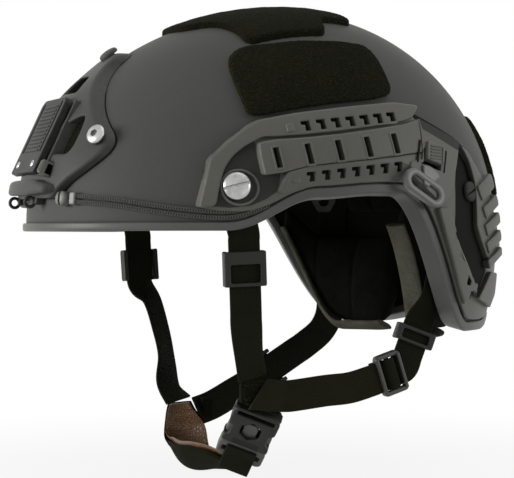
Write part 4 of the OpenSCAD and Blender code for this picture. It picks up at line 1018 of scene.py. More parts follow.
def build_shroud():
    dome = Dome()
    m = plate_frame(dome)
    plate_w, plate_l, plate_t = (mm("rail", n) for n in ("plate_width", "plate_length", "plate_thickness"))
    shroud_frame(dome, m, plate_w, plate_l, plate_t)
    insert_plate(m, plate_w, plate_l, plate_t)
    release_block(m, plate_w, plate_t)
    bm = bmesh.new()
    collect(bm, slab(LIP, 4.6, 11.0, edge=2.2, radius=2.0, arc=4, segments=5, step=2.5, place=dome.at_front))
    piece("shroud_lower_lip", bm, ["shroud"], "helmet", ["shroud_lip"])
    lanyard_rings(dome)
    bm = bmesh.new()
    g = SHROUD_SEAT + mm("rail", "shroud") + 0.6
    side_x, side_z = SIDE_BOLT
    for x, z, turn, look in ((*TOP_BOLT, 30.0, 1), (side_x, side_z, 0.0, 0), (-side_x, side_z, 60.0, 0)):
        at = front_spot(dome, x, z, g)
        seat(bm, at, button_head(11.0, 2.9, turn, hexagon=True), paint=look)
        seat(bm, at, shank(g), paint=look)
    piece("shroud_screws", bm, ["steel", "shroud"], "helmet", ["shroud_bolts"])


# Bungee cords and toggles

BUNGEE = [(24, 11.9), (33, 10.4), (39, 8.8), (44, 7), (49.5, 5.3), (55, 3.9), (60, 3.2), (63.5, 4),
          (66.5, 6.4), (69.5, 9.8)]
TOGGLE_AT = (19.3, 11.9)
TOGGLE_R = 4.0
CORD_SEAT = 0.3


def tube(path, radius, sides=16):
    """A round cord along the path, with its run in millimetres stored for its finish."""
    along = headings(path)
    side = unit(np.cross(along, [0, 0, 1.0]))
    up = np.cross(side, along)
    a = np.arange(sides) * math.tau / sides
    section = np.stack([np.cos(a), np.sin(a)], -1) * radius
    bm = sweep(path, side, up, section)
    layer = bm.verts.layers.float_vector.new("run")
    run = distances(path)
    for vert in bm.verts:
        i = int(np.argmin(np.linalg.norm(path - np.array(vert.co), axis=1)))
        off = np.array(vert.co) - path[i]
        vert[layer] = (run[i], math.atan2(off @ up[i], off @ side[i]) / math.tau, 0.0)
    return bm


def build_bungees():
    dome = Dome()
    d = mm("rail", "cord")
    for side, label in ((1, "left"), (-1, "right")):
        bm = bmesh.new()
        for k in (-1, 1):
            route = catmull(BUNGEE, 90)
            path = dome.at_wall(route[:, 0], route[:, 1] + k * (d + 0.5) / 2, 0.35 + d / 2)
            collect(bm, tube(path, d / 2), flip=side < 0)
        piece("bungee_cords_" + label, bm, ["braid"], "helmet", ["bungee_" + label], sharp=80,
              even=False)
        bm = bmesh.new()
        p = dome.at_wall(*TOGGLE_AT, CORD_SEAT)
        r = TOGGLE_R
        head = lathe([(0, 0), (r * 0.92, 0), (r, 0.5), (r, 3.6), (r * 0.93, 4.6), (r * 0.75, 5.2),
                      (r * 0.4, 5.5), (0, 5.5)], 40)
        planes = [(Vector((0.8, 0, 0)), Vector((1, 0, 0))), (Vector((-0.8, 0, 0)), Vector((-1, 0, 0)))]
        sink(head, planes, lambda c: abs(c.x) < 0.8 and c.z > 3.0, 3.0)
        seat(bm, spot(p, dome.normal(p)), head, flip=side < 0)
        q = dome.at_wall(*BUNGEE[0], CORD_SEAT)
        flat(bm, spot(q, dome.normal(q)), box_loop(4.0, 2 * d + 1.7, -2.3, 0.0), 0.1, d + 1.1, edge=0.8,
             radius=1.0, arc=4, segments=3, flip=side < 0)
        piece("bungee_end_" + label, bm, ["toggle"], "helmet", ["bungee_toggle_" + label])


# Side rails


def over_rim(dome, y, gap):
    slope = (dome.rim_z(y + 1.0) - dome.rim_z(y - 1.0)) / 2
    return (y, float(dome.rim_z(y) + (3.0 + gap) * math.sqrt(1 + slope ** 2)))


def rail_outline(dome):
    head = [(-87.8, 7.2), (-84.7, 18.3), (-80.9, 32.1), (-70.6, 41.5), (-59.8, 49.8), (-54.5, 52.5),
            (-34.5, 56.4), (-6.6, 60.2), (21.3, 63.4), (38, 62.2), (33, 56), (63, 43.5), (70, 39),
            (75.3, 32), (81.5, 24), (85.6, 17.6), (89.2, 10.6), (93, 2.4), (97.5, -6), (101, -14),
            (103, -24), (101, -40)]
    rear = [over_rim(dome, y, 1.2) for y in (96, 88, 79, 71)]
    arm = [over_rim(dome, y, 2.0) for y in (63, 57, 51, 45, 40, 35, 31)]
    low = [over_rim(dome, y, 1.2) for y in (22, 10, -5, -19, -31, -42, -52)]
    return head + rear + arm + low + [(-59.4, 5.6), (-68.1, 4.4), (-77.5, 5.1)]


SLOT_Y, SLOT_Z, SLOT_PITCH, SLOT_SLOPE = -49.1, 32.5, 16.4, 0.127
NOTCH_Y, NOTCH_TOP, NOTCH_LOW, NOTCH_PITCH, NOTCH_SLOPE = -40.0, 48.3, 21.9, 8.2, 0.115
NOTCH = [(-2.3, 2.5), (-2.3, 0.9), (-0.2, 0.7), (-0.5, -2.5), (2.3, -2.5), (2.3, 2.5)]
BLOCK = [(33.8, 55.2), (62, 43.2), (57, 30), (50.5, 14.5), (44, 8), (36, 15), (24, 25), (24, 31.5),
         (34, 33.5)]
ARM = [(43, 7.5), (50.8, 8.1), (56.4, -5.2), (53.5, -7.5), (57.5, -9.2), (61, -16), (58, -18), (62.5, -20),
       (66.3, -24), (78, -42), (90, -27), (99, -28), (99, -40), (93, -48), (84, -52.5), (77, -52),
       (70, -48.5), (66.5, -45), (60.5, -35.4), (54, -20.3), (48, -6)]
REAR_BLOCK = [(64, 41.5), (70, 38), (75, 31), (81, 23.5), (85, 17.2), (88.6, 10.4), (92.4, 2), (96.8, -6.4),
              (99.5, -13), (98, -21), (86, -21), (82.8, -18.4), (76, -8.6), (72.5, -2), (72.5, 20), (69, 33)]
LOCK_Y, LOCK_Z, LOCK_LEAN = 39.5, 34.5, -17.0
LOOP_Y, LOOP_Z, LOOP_TURN = 30.0, 16.7, -31.0
SQUARES = ((68.4, -31.5), (74.8, -35.6), (71.6, -39.6))
SQUARE_TURN, NOTCH_TURN, SLOT_TURN = -14.0, 6.0, 8.0
LOUVRES = [26.0, 14.5, 4.9, -4.7, -14.3, -22.5]
BORDER_FRONT = 10
BORDER_IN = [(31.5, 55.2), (24, 52.9), (5, 49.6), (-14, 46.8), (-33, 44.6), (-49, 43.4), (-54, 43.5),
             (-63.5, 38.6), (-70.2, 33.2), (-74.8, 26.4), (-77.6, 16.6), (-79.4, 7.6)]
PANEL = [(-57.6, 40.2), (-57.6, 33), (-56.2, 23.4), (-46, 25.0), (-33, 28.6), (0, 32.2), (33.5, 36.6),
         (40, 45), (34.5, 54.4), (24, 51.3), (5, 48.2), (-14, 45.4), (-33, 43.2), (-49, 42.0)]
LOW_BAND = [(-49, 15.2), (-46, 13.6), (-36, 17.6), (-20, 20.0), (0, 21.4), (21, 22.0), (29, 26.5), (34, 36.4),
            (0, 32.0), (-33, 28.4), (-44.5, 25.2)]
# Outline of a near-black strip along the rear block's upper edge: a painted shadow line
EDGE_SHADOW_STRIP = [(33, 56.2), (63, 43.8), (70.3, 39.3), (75.6, 32.3), (81.8, 24.3), (83.8, 25.6), (77.4, 34.0),
          (71.6, 41.3), (64.2, 46.2), (34.4, 58.9)]
# Outline of the channel between the arm and the rear block, painted near-black as shade
CHANNEL = [(62.5, 41.0), (69.5, 31.5), (72.4, 20), (72.4, -2), (76, -8.8), (82.6, -18.6), (88, -25.5),
           (78, -41.0), (66.5, -23.2), (57, -4), (58.5, 20)]
# Outline of the rail's front end round the big bolt, painted darker as shade
BOLT_FIELD_SHADE = [(-84.5, 8.0), (-82, 17.5), (-78.5, 27.5), (-73.5, 34.5), (-66, 40.3), (-57.8, 44.2), (-57.8, 33),
         (-56.4, 23.4), (-46.5, 24.6), (-48.5, 15.5), (-54, 11.5), (-62, 8.0), (-72, 6.8)]
# Outline of a strip on the rear block's top, painted darker as shade
BLOCK_EDGE_SHADE = [(34.5, 54.6), (61.6, 43.1), (59.6, 38.4), (35.5, 49.2)]
BOLT_Y, BOLT_Z = -67.4, 17.3
REAR_SCREW_Y, REAR_SCREW_Z = 67.0, 16.0
NUT_T = 1.5
STRAP_GAP = 1.7


def slot_centres():
    return [(SLOT_Y + i * SLOT_PITCH, SLOT_Z + i * SLOT_PITCH * SLOT_SLOPE) for i in range(5)]


def notch_centres(z0):
    return [(NOTCH_Y + i * NOTCH_PITCH, z0 + i * NOTCH_PITCH * NOTCH_SLOPE) for i in range(8)]


def circle(x, y, r, n=28):
    return [(x + r * math.cos(math.tau * k / n), y + r * math.sin(math.tau * k / n)) for k in range(n)]


def rail_mesh(dome, flip):
    base, panel, band, block = (mm("rail", n) for n in ("base", "panel", "band", "block"))
    slot_l, slot_w = mm("rail", "slot_length"), mm("rail", "slot_width")
    bm = bmesh.new()

    def add(loop, high, low=0.5, paint=0, **more):
        collect(bm, slab(loop, low, high, place=dome.at_side, **more), paint=paint, flip=flip)

    # A flat near-black slab: painted shade in a hollow or gap
    def dark(loop, high, paint=1, **more):
        add(loop, high, edge=0.0, paint=paint, **more)

    def border(y, z):
        return band - 0.9 * (1.0 - ease(-50, -34, y)) * ease(-90, -80, y)

    def low_band(y, z):
        foot = dome.rim_z(y) + 6.0
        return base + (panel - 0.5 - base) * ease(-1.0, 9.5, z - foot)

    def notches(row):
        return [shift(NOTCH, y, z, NOTCH_TURN) for y, z in notch_centres(row)[1:]]

    def stud(row):
        return box_loop(4.4, 4.4, *notch_centres(row)[0], NOTCH_TURN)

    def slot(grow, y, z):
        return box_loop(slot_w + grow, slot_l + grow, y, z, SLOT_TURN)

    def lock(w, h, x=0.0):
        return shift(box_loop(w, h, x, 0.0), LOCK_Y, LOCK_Z, LOCK_LEAN)

    outline = rail_outline(dome)
    add(outline, base, edge=1.1, radius=3.0, segments=3, arc=4, step=3.5)
    front = outline[:BORDER_FRONT]
    ring = [(front[0][0], front[0][1] - 0.6)] + front[1:] + BORDER_IN
    add(ring, band, edge=0.9, radius=2.2, segments=3, arc=4, step=3.0, holes=notches(NOTCH_TOP),
        hole_radius=0.25, tall=border)
    add(stud(NOTCH_TOP), band + 0.25, radius=0.6, step=0, low=4.0)

    add(PANEL, panel, edge=0.8, radius=1.2, holes=[slot(0.0, y, z) for y, z in slot_centres()],
        hole_radius=0.5, segments=3, step=3.0)
    for y, z in slot_centres():
        add(slot(2.2, y, z), panel + 0.35, edge=0.3, radius=0.8, low=panel - 1.0, holes=[slot(0.1, y, z)],
            hole_radius=0.5, step=3.0)
        # A near-black slab under the slot: painted shade in it
        dark(slot(1.0, y, z), base + 0.1, radius=0.3, step=3.0)

    add(LOW_BAND, panel - 0.5, edge=0.6, radius=1.0, holes=notches(NOTCH_LOW), hole_radius=0.25, step=2.5,
        tall=low_band)
    add(stud(NOTCH_LOW), base + 3.2, edge=0.6, radius=0.6, step=0)
    # Near-black slabs under the notches: painted shade in them
    for row in (NOTCH_TOP, NOTCH_LOW):
        for y, z in notch_centres(row)[1:]:
            dark(box_loop(5.4, 5.8, y, z, NOTCH_TURN), base + 0.12, radius=0.3, step=0)

    add(BLOCK, panel + 0.5, edge=0.9, radius=2.0, segments=3, arc=4, holes=[lock(13.3, 11.8)], step=2.5)
    # A near-black slab in the lock's pocket and near-black lines beside the tab: painted shade
    dark(lock(13.6, 12.1), base + 0.15, radius=0.5, step=3.0)
    for x in (-9.2, 9.0):
        dark(lock(1.1, 12.5, x), panel + 0.62, radius=0.3, low=panel - 1.0, step=3.0)

    add(ARM, band, edge=1.0, radius=1.2, segments=3, arc=3, hole_radius=0.5, step=2.5,
        holes=[box_loop(3.0, 5.0, y, z, SQUARE_TURN) for y, z in SQUARES])
    # Near-black slabs under the square holes: painted shade in them
    for y, z in SQUARES:
        dark(box_loop(4.2, 6.2, y, z, SQUARE_TURN), base + 0.15, radius=0.3, step=0)
    add(REAR_BLOCK, block - 2.4, edge=1.0, radius=1.5, segments=3, step=2.5)
    for i, (top, bottom) in enumerate(zip(LOUVRES, LOUVRES[1:])):
        mid = (top + bottom) / 2
        span = top - bottom - 2.6
        middle_y = 82.0 if i == 0 else 84.0 + 1.8 * i
        add(box_loop(15.5, span, middle_y, mid - 1.0, 30.0), block, edge=0.9, radius=1.0, low=base,
            segments=3, step=3.0, tall=lambda u, v, c=mid: block - 1.2 + 1.6 * ease(-4.0, 4.0, v - c))
    # A near-black strip along the rear block's upper edge: a painted shadow line
    add(EDGE_SHADOW_STRIP, 1.5, edge=0.3, radius=0.6, paint=1, low=0.2, step=3.0)
    # A near-black slab in the channel: painted shade
    dark(CHANNEL, base + 0.2, radius=1.0, step=3.0)
    # The front end round the big bolt and a strip on the block, in the darker rail tone: painted shade
    dark(BOLT_FIELD_SHADE, base + 0.12, radius=1.0, paint=2, step=3.0)
    add(BLOCK_EDGE_SHADE, panel + 0.62, edge=0.05, radius=0.8, low=panel - 0.5, paint=2, step=3.0)
    add(circle(BOLT_Y, BOLT_Z, 9.6), base + 1.4, radius=0.0, holes=[circle(BOLT_Y, BOLT_Z, 8.3)],
        hole_radius=0.0, step=3.0)
    # A near-black disc under the big bolt's head, seen as a ring round it: painted shade
    dark(circle(BOLT_Y, BOLT_Z, 8.6), base + 0.1, radius=0.0, step=3.0)
    return bm


def lock_tab(dome, label, flip, base, panel):
    at = side_spot(dome, LOCK_Y, LOCK_Z, 0.0) @ Matrix.Rotation(math.radians(LOCK_LEAN), 4, "Z")
    bm = bmesh.new()
    flat(bm, at, box_loop(12.5, 11.0), base + 2.1, panel + 0.6, edge=0.7, radius=1.0, flip=flip)
    for k in range(5):
        rib = box_loop(7.6, 0.9, 0.0, -3.6 + 1.8 * k, 14.0)
        flat(bm, at, rib, panel, panel + 1.15, edge=0.3, radius=0.2, flip=flip)
    for x in (-5.3, 5.3):
        flat(bm, at, box_loop(1.5, 9.6, x, 0.0), panel, panel + 1.2, edge=0.4, radius=0.4, flip=flip)
    piece("lock_tab_" + label, bm, ["rail"], "rail_lock_" + label, ["rail_lock_" + label])


def strap_ring(dome, label, flip, base, panel):
    at = side_spot(dome, LOOP_Y, LOOP_Z, base + 0.6) @ Matrix.Rotation(math.radians(LOOP_TURN), 4, "Z")
    low = panel - base - 1.8
    bm = bmesh.new()
    flat(bm, at, stadium(28.5, 13.0), low, low + 3.4, edge=1.4, radius=0.0, segments=4,
         holes=[stadium(20.0, 5.6)], hole_radius=0.0, flip=flip)
    fan = [(-1.6, 1.0)] + [(12.3 * math.cos(math.radians(a)), 12.3 * math.sin(math.radians(a)))
                           for a in range(122, 57, -8)] + [(1.6, 1.0)]
    flat(bm, at, fan[::-1], 0.2, low + 2.9, edge=0.8, radius=0.8, segments=3, flip=flip)
    piece("strap_ring_" + label, bm, ["ring"], "strap_loop_" + label, ["strap_loop_" + label])


def build_rails():
    dome = Dome()
    base, panel = mm("rail", "base"), mm("rail", "panel")
    low = base + 0.8
    for flip, label in ((False, "left"), (True, "right")):
        piece("rail_body_" + label, rail_mesh(dome, flip), ["rail", "recess", "field"], "helmet",
              ["rail_" + label])
        lock_tab(dome, label, flip, base, panel)
        strap_ring(dome, label, flip, base, panel)

    for name, y, z, d, tall, turn, cad, look in (
            ("rail_main_bolts", BOLT_Y, BOLT_Z, mm("rail", "bolt_head"), 3.6, 14.0, "rail_bolts", "steel"),
            ("rail_back_screws", REAR_SCREW_Y, REAR_SCREW_Z, 11.0, 2.8, 20.0, "rail_rear_screws", "field")):
        bm = bmesh.new()
        for flip in (False, True):
            at = side_spot(dome, y, z, low)
            seat(bm, at, button_head(d, tall, turn), flip=flip)
            seat(bm, at, shank(low), flip=flip)
        piece(name, bm, [look], "helmet", [cad])

    bm = bmesh.new()
    deep = dome.wall_t + STRAP_GAP + 1.6 + NUT_T + NUT_T
    face = dome.wall_t + NUT_T
    spots = [(side_spot(dome, BOLT_Y, BOLT_Z, -deep), (False, True)),
             (side_spot(dome, REAR_SCREW_Y, REAR_SCREW_Z, -deep), (False, True)),
             (front_spot(dome, *SIDE_BOLT, -face - NUT_T), (False, True)),
             (front_spot(dome, *TOP_BOLT, -face - NUT_T), (False,))]
    for at, sides in spots:
        for flip in sides:
            flat(bm, at, circle(0, 0, 7.5, 6), 0.0, NUT_T, edge=0.25, radius=0.8, holes=[circle(0, 0, 3.2)],
                 hole_radius=0.0, flip=flip)
    piece("inside_nuts", bm, ["moulded"], "helmet", ["inner_nuts"])


# Lining


VOXEL = 0.0045
FRAMES = 20
PUFF = 0.003
CHANNEL_W = 1.5
EDGING_GAP, EDGING_T = 0.8, 1.3
WEB_HALF = 0.8
STRAP_TO_DISC, DISC_TO_PAD = 0.8, 0.9
REAR_LAYER = 2.4


def bake(obj):
    """Puts what the modifiers make in place of the object's mesh."""
    graph = bpy.context.evaluated_depsgraph_get()
    mesh = bpy.data.meshes.new_from_object(obj.evaluated_get(graph))
    obj.modifiers.clear()
    old = obj.data
    obj.data = mesh
    bpy.data.meshes.remove(old)
    return mesh


def swell(obj):
    """Fills a pad by a short cloth simulation, in which no point may move further than PUFF, in metres."""
    scene = bpy.context.scene
    even = obj.modifiers.new("Even mesh", "REMESH")
    even.mode = "VOXEL"
    even.voxel_size = VOXEL
    mesh = bake(obj)
    n = len(mesh.vertices)
    at_rest = np.empty(n * 3)
    mesh.vertices.foreach_get("co", at_rest)
    cloth = obj.modifiers.new("Cloth", "CLOTH")
    cloth.settings.quality = 4
    cloth.settings.use_pressure = True
    cloth.settings.uniform_pressure_force = 4.0
    cloth.settings.effector_weights.gravity = 0.0
    cloth.point_cache.frame_start = 1
    cloth.point_cache.frame_end = FRAMES
    for f in range(1, FRAMES + 1):
        scene.frame_set(f)
    graph = bpy.context.evaluated_depsgraph_get()
    moved = np.empty(n * 3)
    obj.evaluated_get(graph).data.vertices.foreach_get("co", moved)
    obj.modifiers.clear()
    scene.frame_set(1)
    step = (moved - at_rest).reshape(-1, 3)
    far = np.linalg.norm(step, axis=1, keepdims=True)
    step *= np.minimum(1.0, PUFF / np.maximum(far, 1e-9))
    mesh.vertices.foreach_set("co", (at_rest.reshape(-1, 3) + step).ravel())
    mesh.update()


def cushion(name, cad, shape, back, thick, flip=False, keep=None):
    """A stuffed pad: shape(u, v, g) gives its surface, g millimetres inside the shell's outer face."""
    bm, u, v = grid(26, 16)

    def crown(a, b):
        fall = (1 - np.abs(2 * a - 1) ** 5) * (1 - np.abs(2 * b - 1) ** 5)
        return 0.5 + 0.42 * np.sqrt(np.clip(fall, 0, 1))
    inset_u = 0.03 + 0.94 * u
    inset_v = 0.05 + 0.90 * v
    front = shape(inset_u, inset_v, back + thick * crown(u, v) - 1.0)
    rear = shape(inset_u, inset_v, np.full_like(u, back + 0.6))
    n = len(bm.verts)
    bmesh.ops.extrude_face_region(bm, geom=bm.faces[:], use_keep_orig=True)
    move(bm, np.vstack([front, rear])[:len(bm.verts)])
    if len(bm.verts) != 2 * n:
        raise RuntimeError("the pad's two faces don't match")
    if flip:
        bmesh.ops.scale(bm, vec=(-1, 1, 1), verts=bm.verts)
    bmesh.ops.recalc_face_normals(bm, faces=bm.faces)
    obj = piece(name, bm, ["lining"], "helmet", [cad], even=False)
    swell(obj)
    for p in obj.data.polygons:
        p.use_smooth = True
    if not len(obj.data.materials):
        obj.data.materials.append(finish("lining"))
    soft = obj.modifiers.new("Soft", "SUBSURF")
    soft.levels = 2
    soft.render_levels = 2
    mesh = bake(obj)
    co = np.empty(len(mesh.vertices) * 3)
    mesh.vertices.foreach_get("co", co)
    co = co.reshape(-1, 3) * 1000.0
    if keep is not None:
        mirror = [-1, 1, 1] if flip else [1, 1, 1]
        co = keep(co * mirror) * mirror
    mesh.vertices.foreach_set("co", (co / 1000.0).ravel())
    mesh.update()
    return obj


def channelled(dome, turn0, turn1, count, back, thick, depth=1.8):
    """Draws the sewn channels in over a wall pad and keeps its back clear of what it rests on."""
    def keep(p):
        long = np.where(p[:, 1] < 0, dome.front, dome.rear)
        turn = np.degrees(np.arctan2(p[:, 0] / dome.half, -p[:, 1] / long))
        turn = np.where(turn < turn0 - 40, turn + 360, turn)
        n = dome.normal(p)
        ratio = np.sqrt((p[:, 0] / dome.half) ** 2 + (p[:, 1] / dome.long(p[:, 1], 0)) ** 2
                        + (p[:, 2] / dome.tall(p[:, 2], 0)) ** 2)
        inside = (1.0 - ratio) * 112.0
        push = np.maximum(0.0, back + 0.3 - inside)
        share = (turn - turn0) / (turn1 - turn0) * count
        off = np.abs(share - np.rint(share)) * (turn1 - turn0) / count * 2.0
        groove = depth * np.exp(-(off / CHANNEL_W) ** 2)
        groove = groove * ease(back + thick * 0.35, back + thick * 0.6, inside)
        return p - n * push[:, None] + n * groove[:, None]
    return keep


LINER_HANG = 5.0


def build_hem(dome, label, deep, thick, flip):
    """The bound lower edge of the rear liner, and its seam."""
    turn = np.linspace(109.5, 155.5, 60)
    low = dome.rim_z(-(dome.rear - deep) * np.cos(np.radians(turn))) - LINER_HANG
    path = dome.at_wall(turn, low + 1.4, -(deep + thick * 0.55))
    along = headings(path)
    out = dome.normal(path)
    up = unit(np.cross(along, out))
    half, tall = thick * 0.42, 1.7
    arc = np.radians(np.arange(0, 360, 15))
    section = np.stack([half * np.sign(np.cos(arc)) * np.abs(np.cos(arc)) ** 0.7, tall * np.sin(arc)], -1)
    bm = bmesh.new()
    collect(bm, sweep(path, out, up, section), flip=flip)
    piece("liner_hem_" + label, bm, ["hem"], "helmet", [], sharp=70, even=False)


def build_pads():
    dome = Dome()
    thick = mm("harness", "pad")
    layer = dome.wall_t + STRAP_GAP + mm("harness", "web_thickness") / 2
    back = layer + STRAP_TO_DISC + DISC_TO_PAD
    low_layer = dome.wall_t + EDGING_GAP + EDGING_T + STRAP_GAP + WEB_HALF
    deep = low_layer + REAR_LAYER + STRAP_TO_DISC + DISC_TO_PAD

    def wall(turn0, turn1, lows, highs):
        def shape(u, v, g):
            turn = turn0 + (turn1 - turn0) * u
            low = lows[0] + (lows[1] - lows[0]) * u
            high = highs[0] + (highs[1] - highs[0]) * u
            return dome.at_wall(turn, low + (high - low) * v, -g)
        return shape
    cushion("pad_front", "front_pad", wall(-36, 36, (8, 8), (40, 40)), back, thick,
            keep=channelled(dome, -36, 36, 4, back, thick))

    def liner(u, v, g):
        turn = 108 + 49 * u
        low = dome.rim_z(-(dome.rear - deep) * np.cos(np.radians(turn))) - LINER_HANG
        high = 12 - 16 * ease(0, 0.35, u)
        return dome.at_wall(turn, low + (high - low) * v, -g)
    for flip, label in ((False, "left"), (True, "right")):
        cushion("pad_temple_" + label, "temple_pad_" + label, wall(76, 104, (24, 26), (68, 72)), back, thick,
                keep=channelled(dome, 76, 104, 2, back, thick), flip=flip)
        cushion("pad_side_" + label, "side_pad_" + label, wall(132, 158, (4, 4), (60, 60)), back, thick,
                keep=channelled(dome, 132, 158, 2, back, thick), flip=flip)
        cushion("liner_rear_" + label, "rear_liner_" + label, liner, deep, thick,
                keep=channelled(dome, 108, 157, 3, deep, thick, 1.0), flip=flip)
        build_hem(dome, label, deep, thick, flip)
    nape = float(dome.rim_z(dome.rear - back)) + 1.0
    cushion("pad_nape", "nape_pad", wall(160, 200, (nape, nape), (-6, -6)), back, thick,
            keep=channelled(dome, 160, 200, 3, back, thick))

    def top(u, v, g):
        return dome.at_top(-46 + 92 * u, -46 + 92 * v, -g)
    cushion("pad_crown", "crown_pad", top, back, thick)

    bm = bmesh.new()
    face = dome.wall_t + NUT_T

    def disc(turn, z, far, flip=False):
        c, s = math.cos(math.radians(turn)), math.sin(math.radians(turn))
        per = 180 / math.pi / math.hypot(dome.half * c, (dome.front if c > 0 else dome.rear) * s)
        collect(bm, slab(circle(0, 0, 10.0, 40), face, far - 0.3, radius=0.0,
                         place=lambda u, v, h: dome.at_wall(turn + u * per, z + v, -h)), flip=flip)
    disc(0, 24, back)
    for flip in (False, True):
        disc(90, 46, back, flip)
        disc(145, 34, back, flip)
        disc(146, -22, deep, flip)
    disc(180, -22, back)
    seat(bm, Matrix.Translation((0, 0, dome.crown)),
         lathe([(0, -face), (9.6, -face), (10, -face - 0.4), (10, -back + 0.5), (0, -back + 0.3)], 36))
    piece("hook_pile_discs", bm, ["hooks"], "helmet", ["hook_discs"], even=False)


# Harness

SEAT = 0.3
JUNCTION = (4.0, 23.0, 11.0)
LOCK_SPAN = 15.0
LOCK_DEEP = 4.0
SOCKET_AT = 3.5
SOCKET_L = 25.0
SOCKET_W = 26.0
SOCKET_T = 9.0
PLUG_L = 11.0
LINING_GAP = 1.0
LINING_SHRINK = 1.0


class Harness:
    """Routes of the webbing, as the frame has them."""

    def __init__(self, dome):
        s = dome.at_side
        web_t = mm("harness", "web_thickness")
        layer = dome.wall_t + STRAP_GAP + web_t / 2
        low = dome.wall_t + EDGING_GAP + EDGING_T + STRAP_GAP + web_t / 2
        deep = low + REAR_LAYER
        self.front_routes(s, layer, low, dome)
        self.rear_left_route(s, layer, deep, dome, web_t)
        self.rear_right_route(s, layer, deep, dome)
        self.elastic_route()
        self.chin_routes()

    def front_routes(self, s, layer, low, dome):
        x = s(-59.4, -3.0, -low)[0] - 1.2
        self.front_way = unit([-0.045, 0.05, -1])
        top = np.array([x, -59.4, -6.0])
        line = self.front_line = lambda z: top + self.front_way * (top[2] - z) / -self.front_way[2]
        end = self.front_left_end = np.array([x - 12, -49.6, -82.5])
        up = [s(BOLT_Y, BOLT_Z + 7, -layer), s(BOLT_Y, BOLT_Z, -layer),
              s(BOLT_Y + 1, BOLT_Z - 7, -layer - SEAT), s(BOLT_Y + 5, 4.0, -low)]
        straight = [line(z) for z in (-6, -10, -14, -25, -36)]
        self.front_left = up + straight + [line(-42), line(-48), line(-54), end + [3.2, -3.4, 14], end]
        p = s(BOLT_Y, BOLT_Z, 0.0)
        wide = unit(np.cross([0, 0, 1], dome.normal(p)))
        self.drop = wide * 0.4 + np.array([0, 1, 0]) * 0.6
        self.front_left_wide = [wide] * 4 + [self.drop] * 8 + [[-0.1, 1, 0.15], [-0.1, 1, 0.2]]
        self.front_right_end = np.array([-43.2, -48.6, -102.9])
        self.front_right = ([self.flip(q) for q in up + straight]
                            + [[-81.5, -51.3, -45.7], [-75, -47.9, -63.5], [-64.5, -47.9, -80.8],
                               [-52, -51.4, -94.7], self.front_right_end])
        self.front_right_wide = ([self.flip(wide)] * 4 + [self.flip(self.drop)] * 5
                                 + [[-0.51, 0.86, 0], [-0.6, 0.8, 0], [-0.66, 0.75, 0], [-0.4, 0.92, 0],
                                    [0.1, 1, 0]])

    def rear_up(self, s, y, layer, deep, dome):
        """The way down behind the lining, and the level widths along it."""
        between = lambda k: REAR_SCREW_Y + (y - REAR_SCREW_Y) * k
        up = [s(REAR_SCREW_Y, REAR_SCREW_Z + 8, -layer - SEAT),
              s(REAR_SCREW_Y, REAR_SCREW_Z, -layer - 2 * SEAT),
              s(REAR_SCREW_Y - 1, REAR_SCREW_Z - 10, -layer - 3 * SEAT), s(between(0.5), -18.0, -deep),
              s(between(0.8), -32.0, -deep), s(y, -42.0, -deep)]
        return up, [unit(np.cross([0, 0, 1], dome.normal(q))) for q in up]

    def rear_left_route(self, s, layer, deep, dome, web_t):
        up, up_wide = self.rear_up(s, 53.0, layer, deep, dome)
        bend = up[5] + [-1, -5.5, -12.5]
        tilt = math.radians(18)
        self.lean = np.array([0, math.cos(tilt), math.sin(tilt)])
        lock_in = bend + [-1, -8.9, -24]
        under = LOCK_DEEP / 2 + SEAT + web_t / 2 + 0.1
        over = web_t / 2 + SEAT
        self.lock_mid = lock_in - self.lean * 10 + [under, 0, 0]
        self.rear_way = unit(lock_in - bend)
        self.rear_wide = np.array([0.1, 0.93, -0.37])
        self.rear_line = lambda d: bend + self.rear_way * d
        weave = [self.lock_mid + self.lean * u + [x, 0, 0] for u, x in
                 ((5.4, -under), (3.7, -1), (1.7, over), (-1.7, over), (-3.7, -1), (-5.4, -under),
                  (-9.5, -under - 0.4))]
        self.rear_left = up + [self.rear_line(k) for k in (0, 5, 10, 15, 19.5)] + [lock_in] + weave
        lock_wide = np.array([0, math.sin(tilt), -math.cos(tilt)])
        between = [self.rear_wide + (lock_wide - self.rear_wide) * k for k in (0.3, 0.75)]
        self.rear_left_wide = up_wide + [self.rear_wide] * 4 + between + [lock_wide] * 7

    def rear_right_route(self, s, layer, deep, dome):
        up, up_wide = self.rear_up(s, 62.0, layer, deep, dome)
        end, sewn_end = np.array([-44.6, -26.4, -106.3]), np.array([-42.2, -37.0, -109.4])
        mid, low = np.array([-67, 30.4, -81.2]), np.array([-57, -4, -99])
        self.right_way = unit(low - mid)
        line = self.rear_line_right = lambda d: mid + self.right_way * d
        self.rear_right = ([self.flip(q) for q in up] + [[-70.2, 60.5, -55], [-71.2, 55.4, -65.5]]
                           + [line(k) for k in (-16, -8, 0, 8, 14, 20, 28)]
                           + [(line(28) + end) / 2, end, sewn_end])
        self.low_wide = np.array([-0.23, -0.55, 0.8])
        self.rear_right_wide = ([self.flip(w) for w in up_wide] + [[0.35, 0.9, -0.3], [0.2, 0.8, -0.6]]
                                + [-self.low_wide] * 7
                                + [[0.25, 0.4, -0.85], [0.25, 0.25, -0.9], [0.3, 0.2, -0.9]])

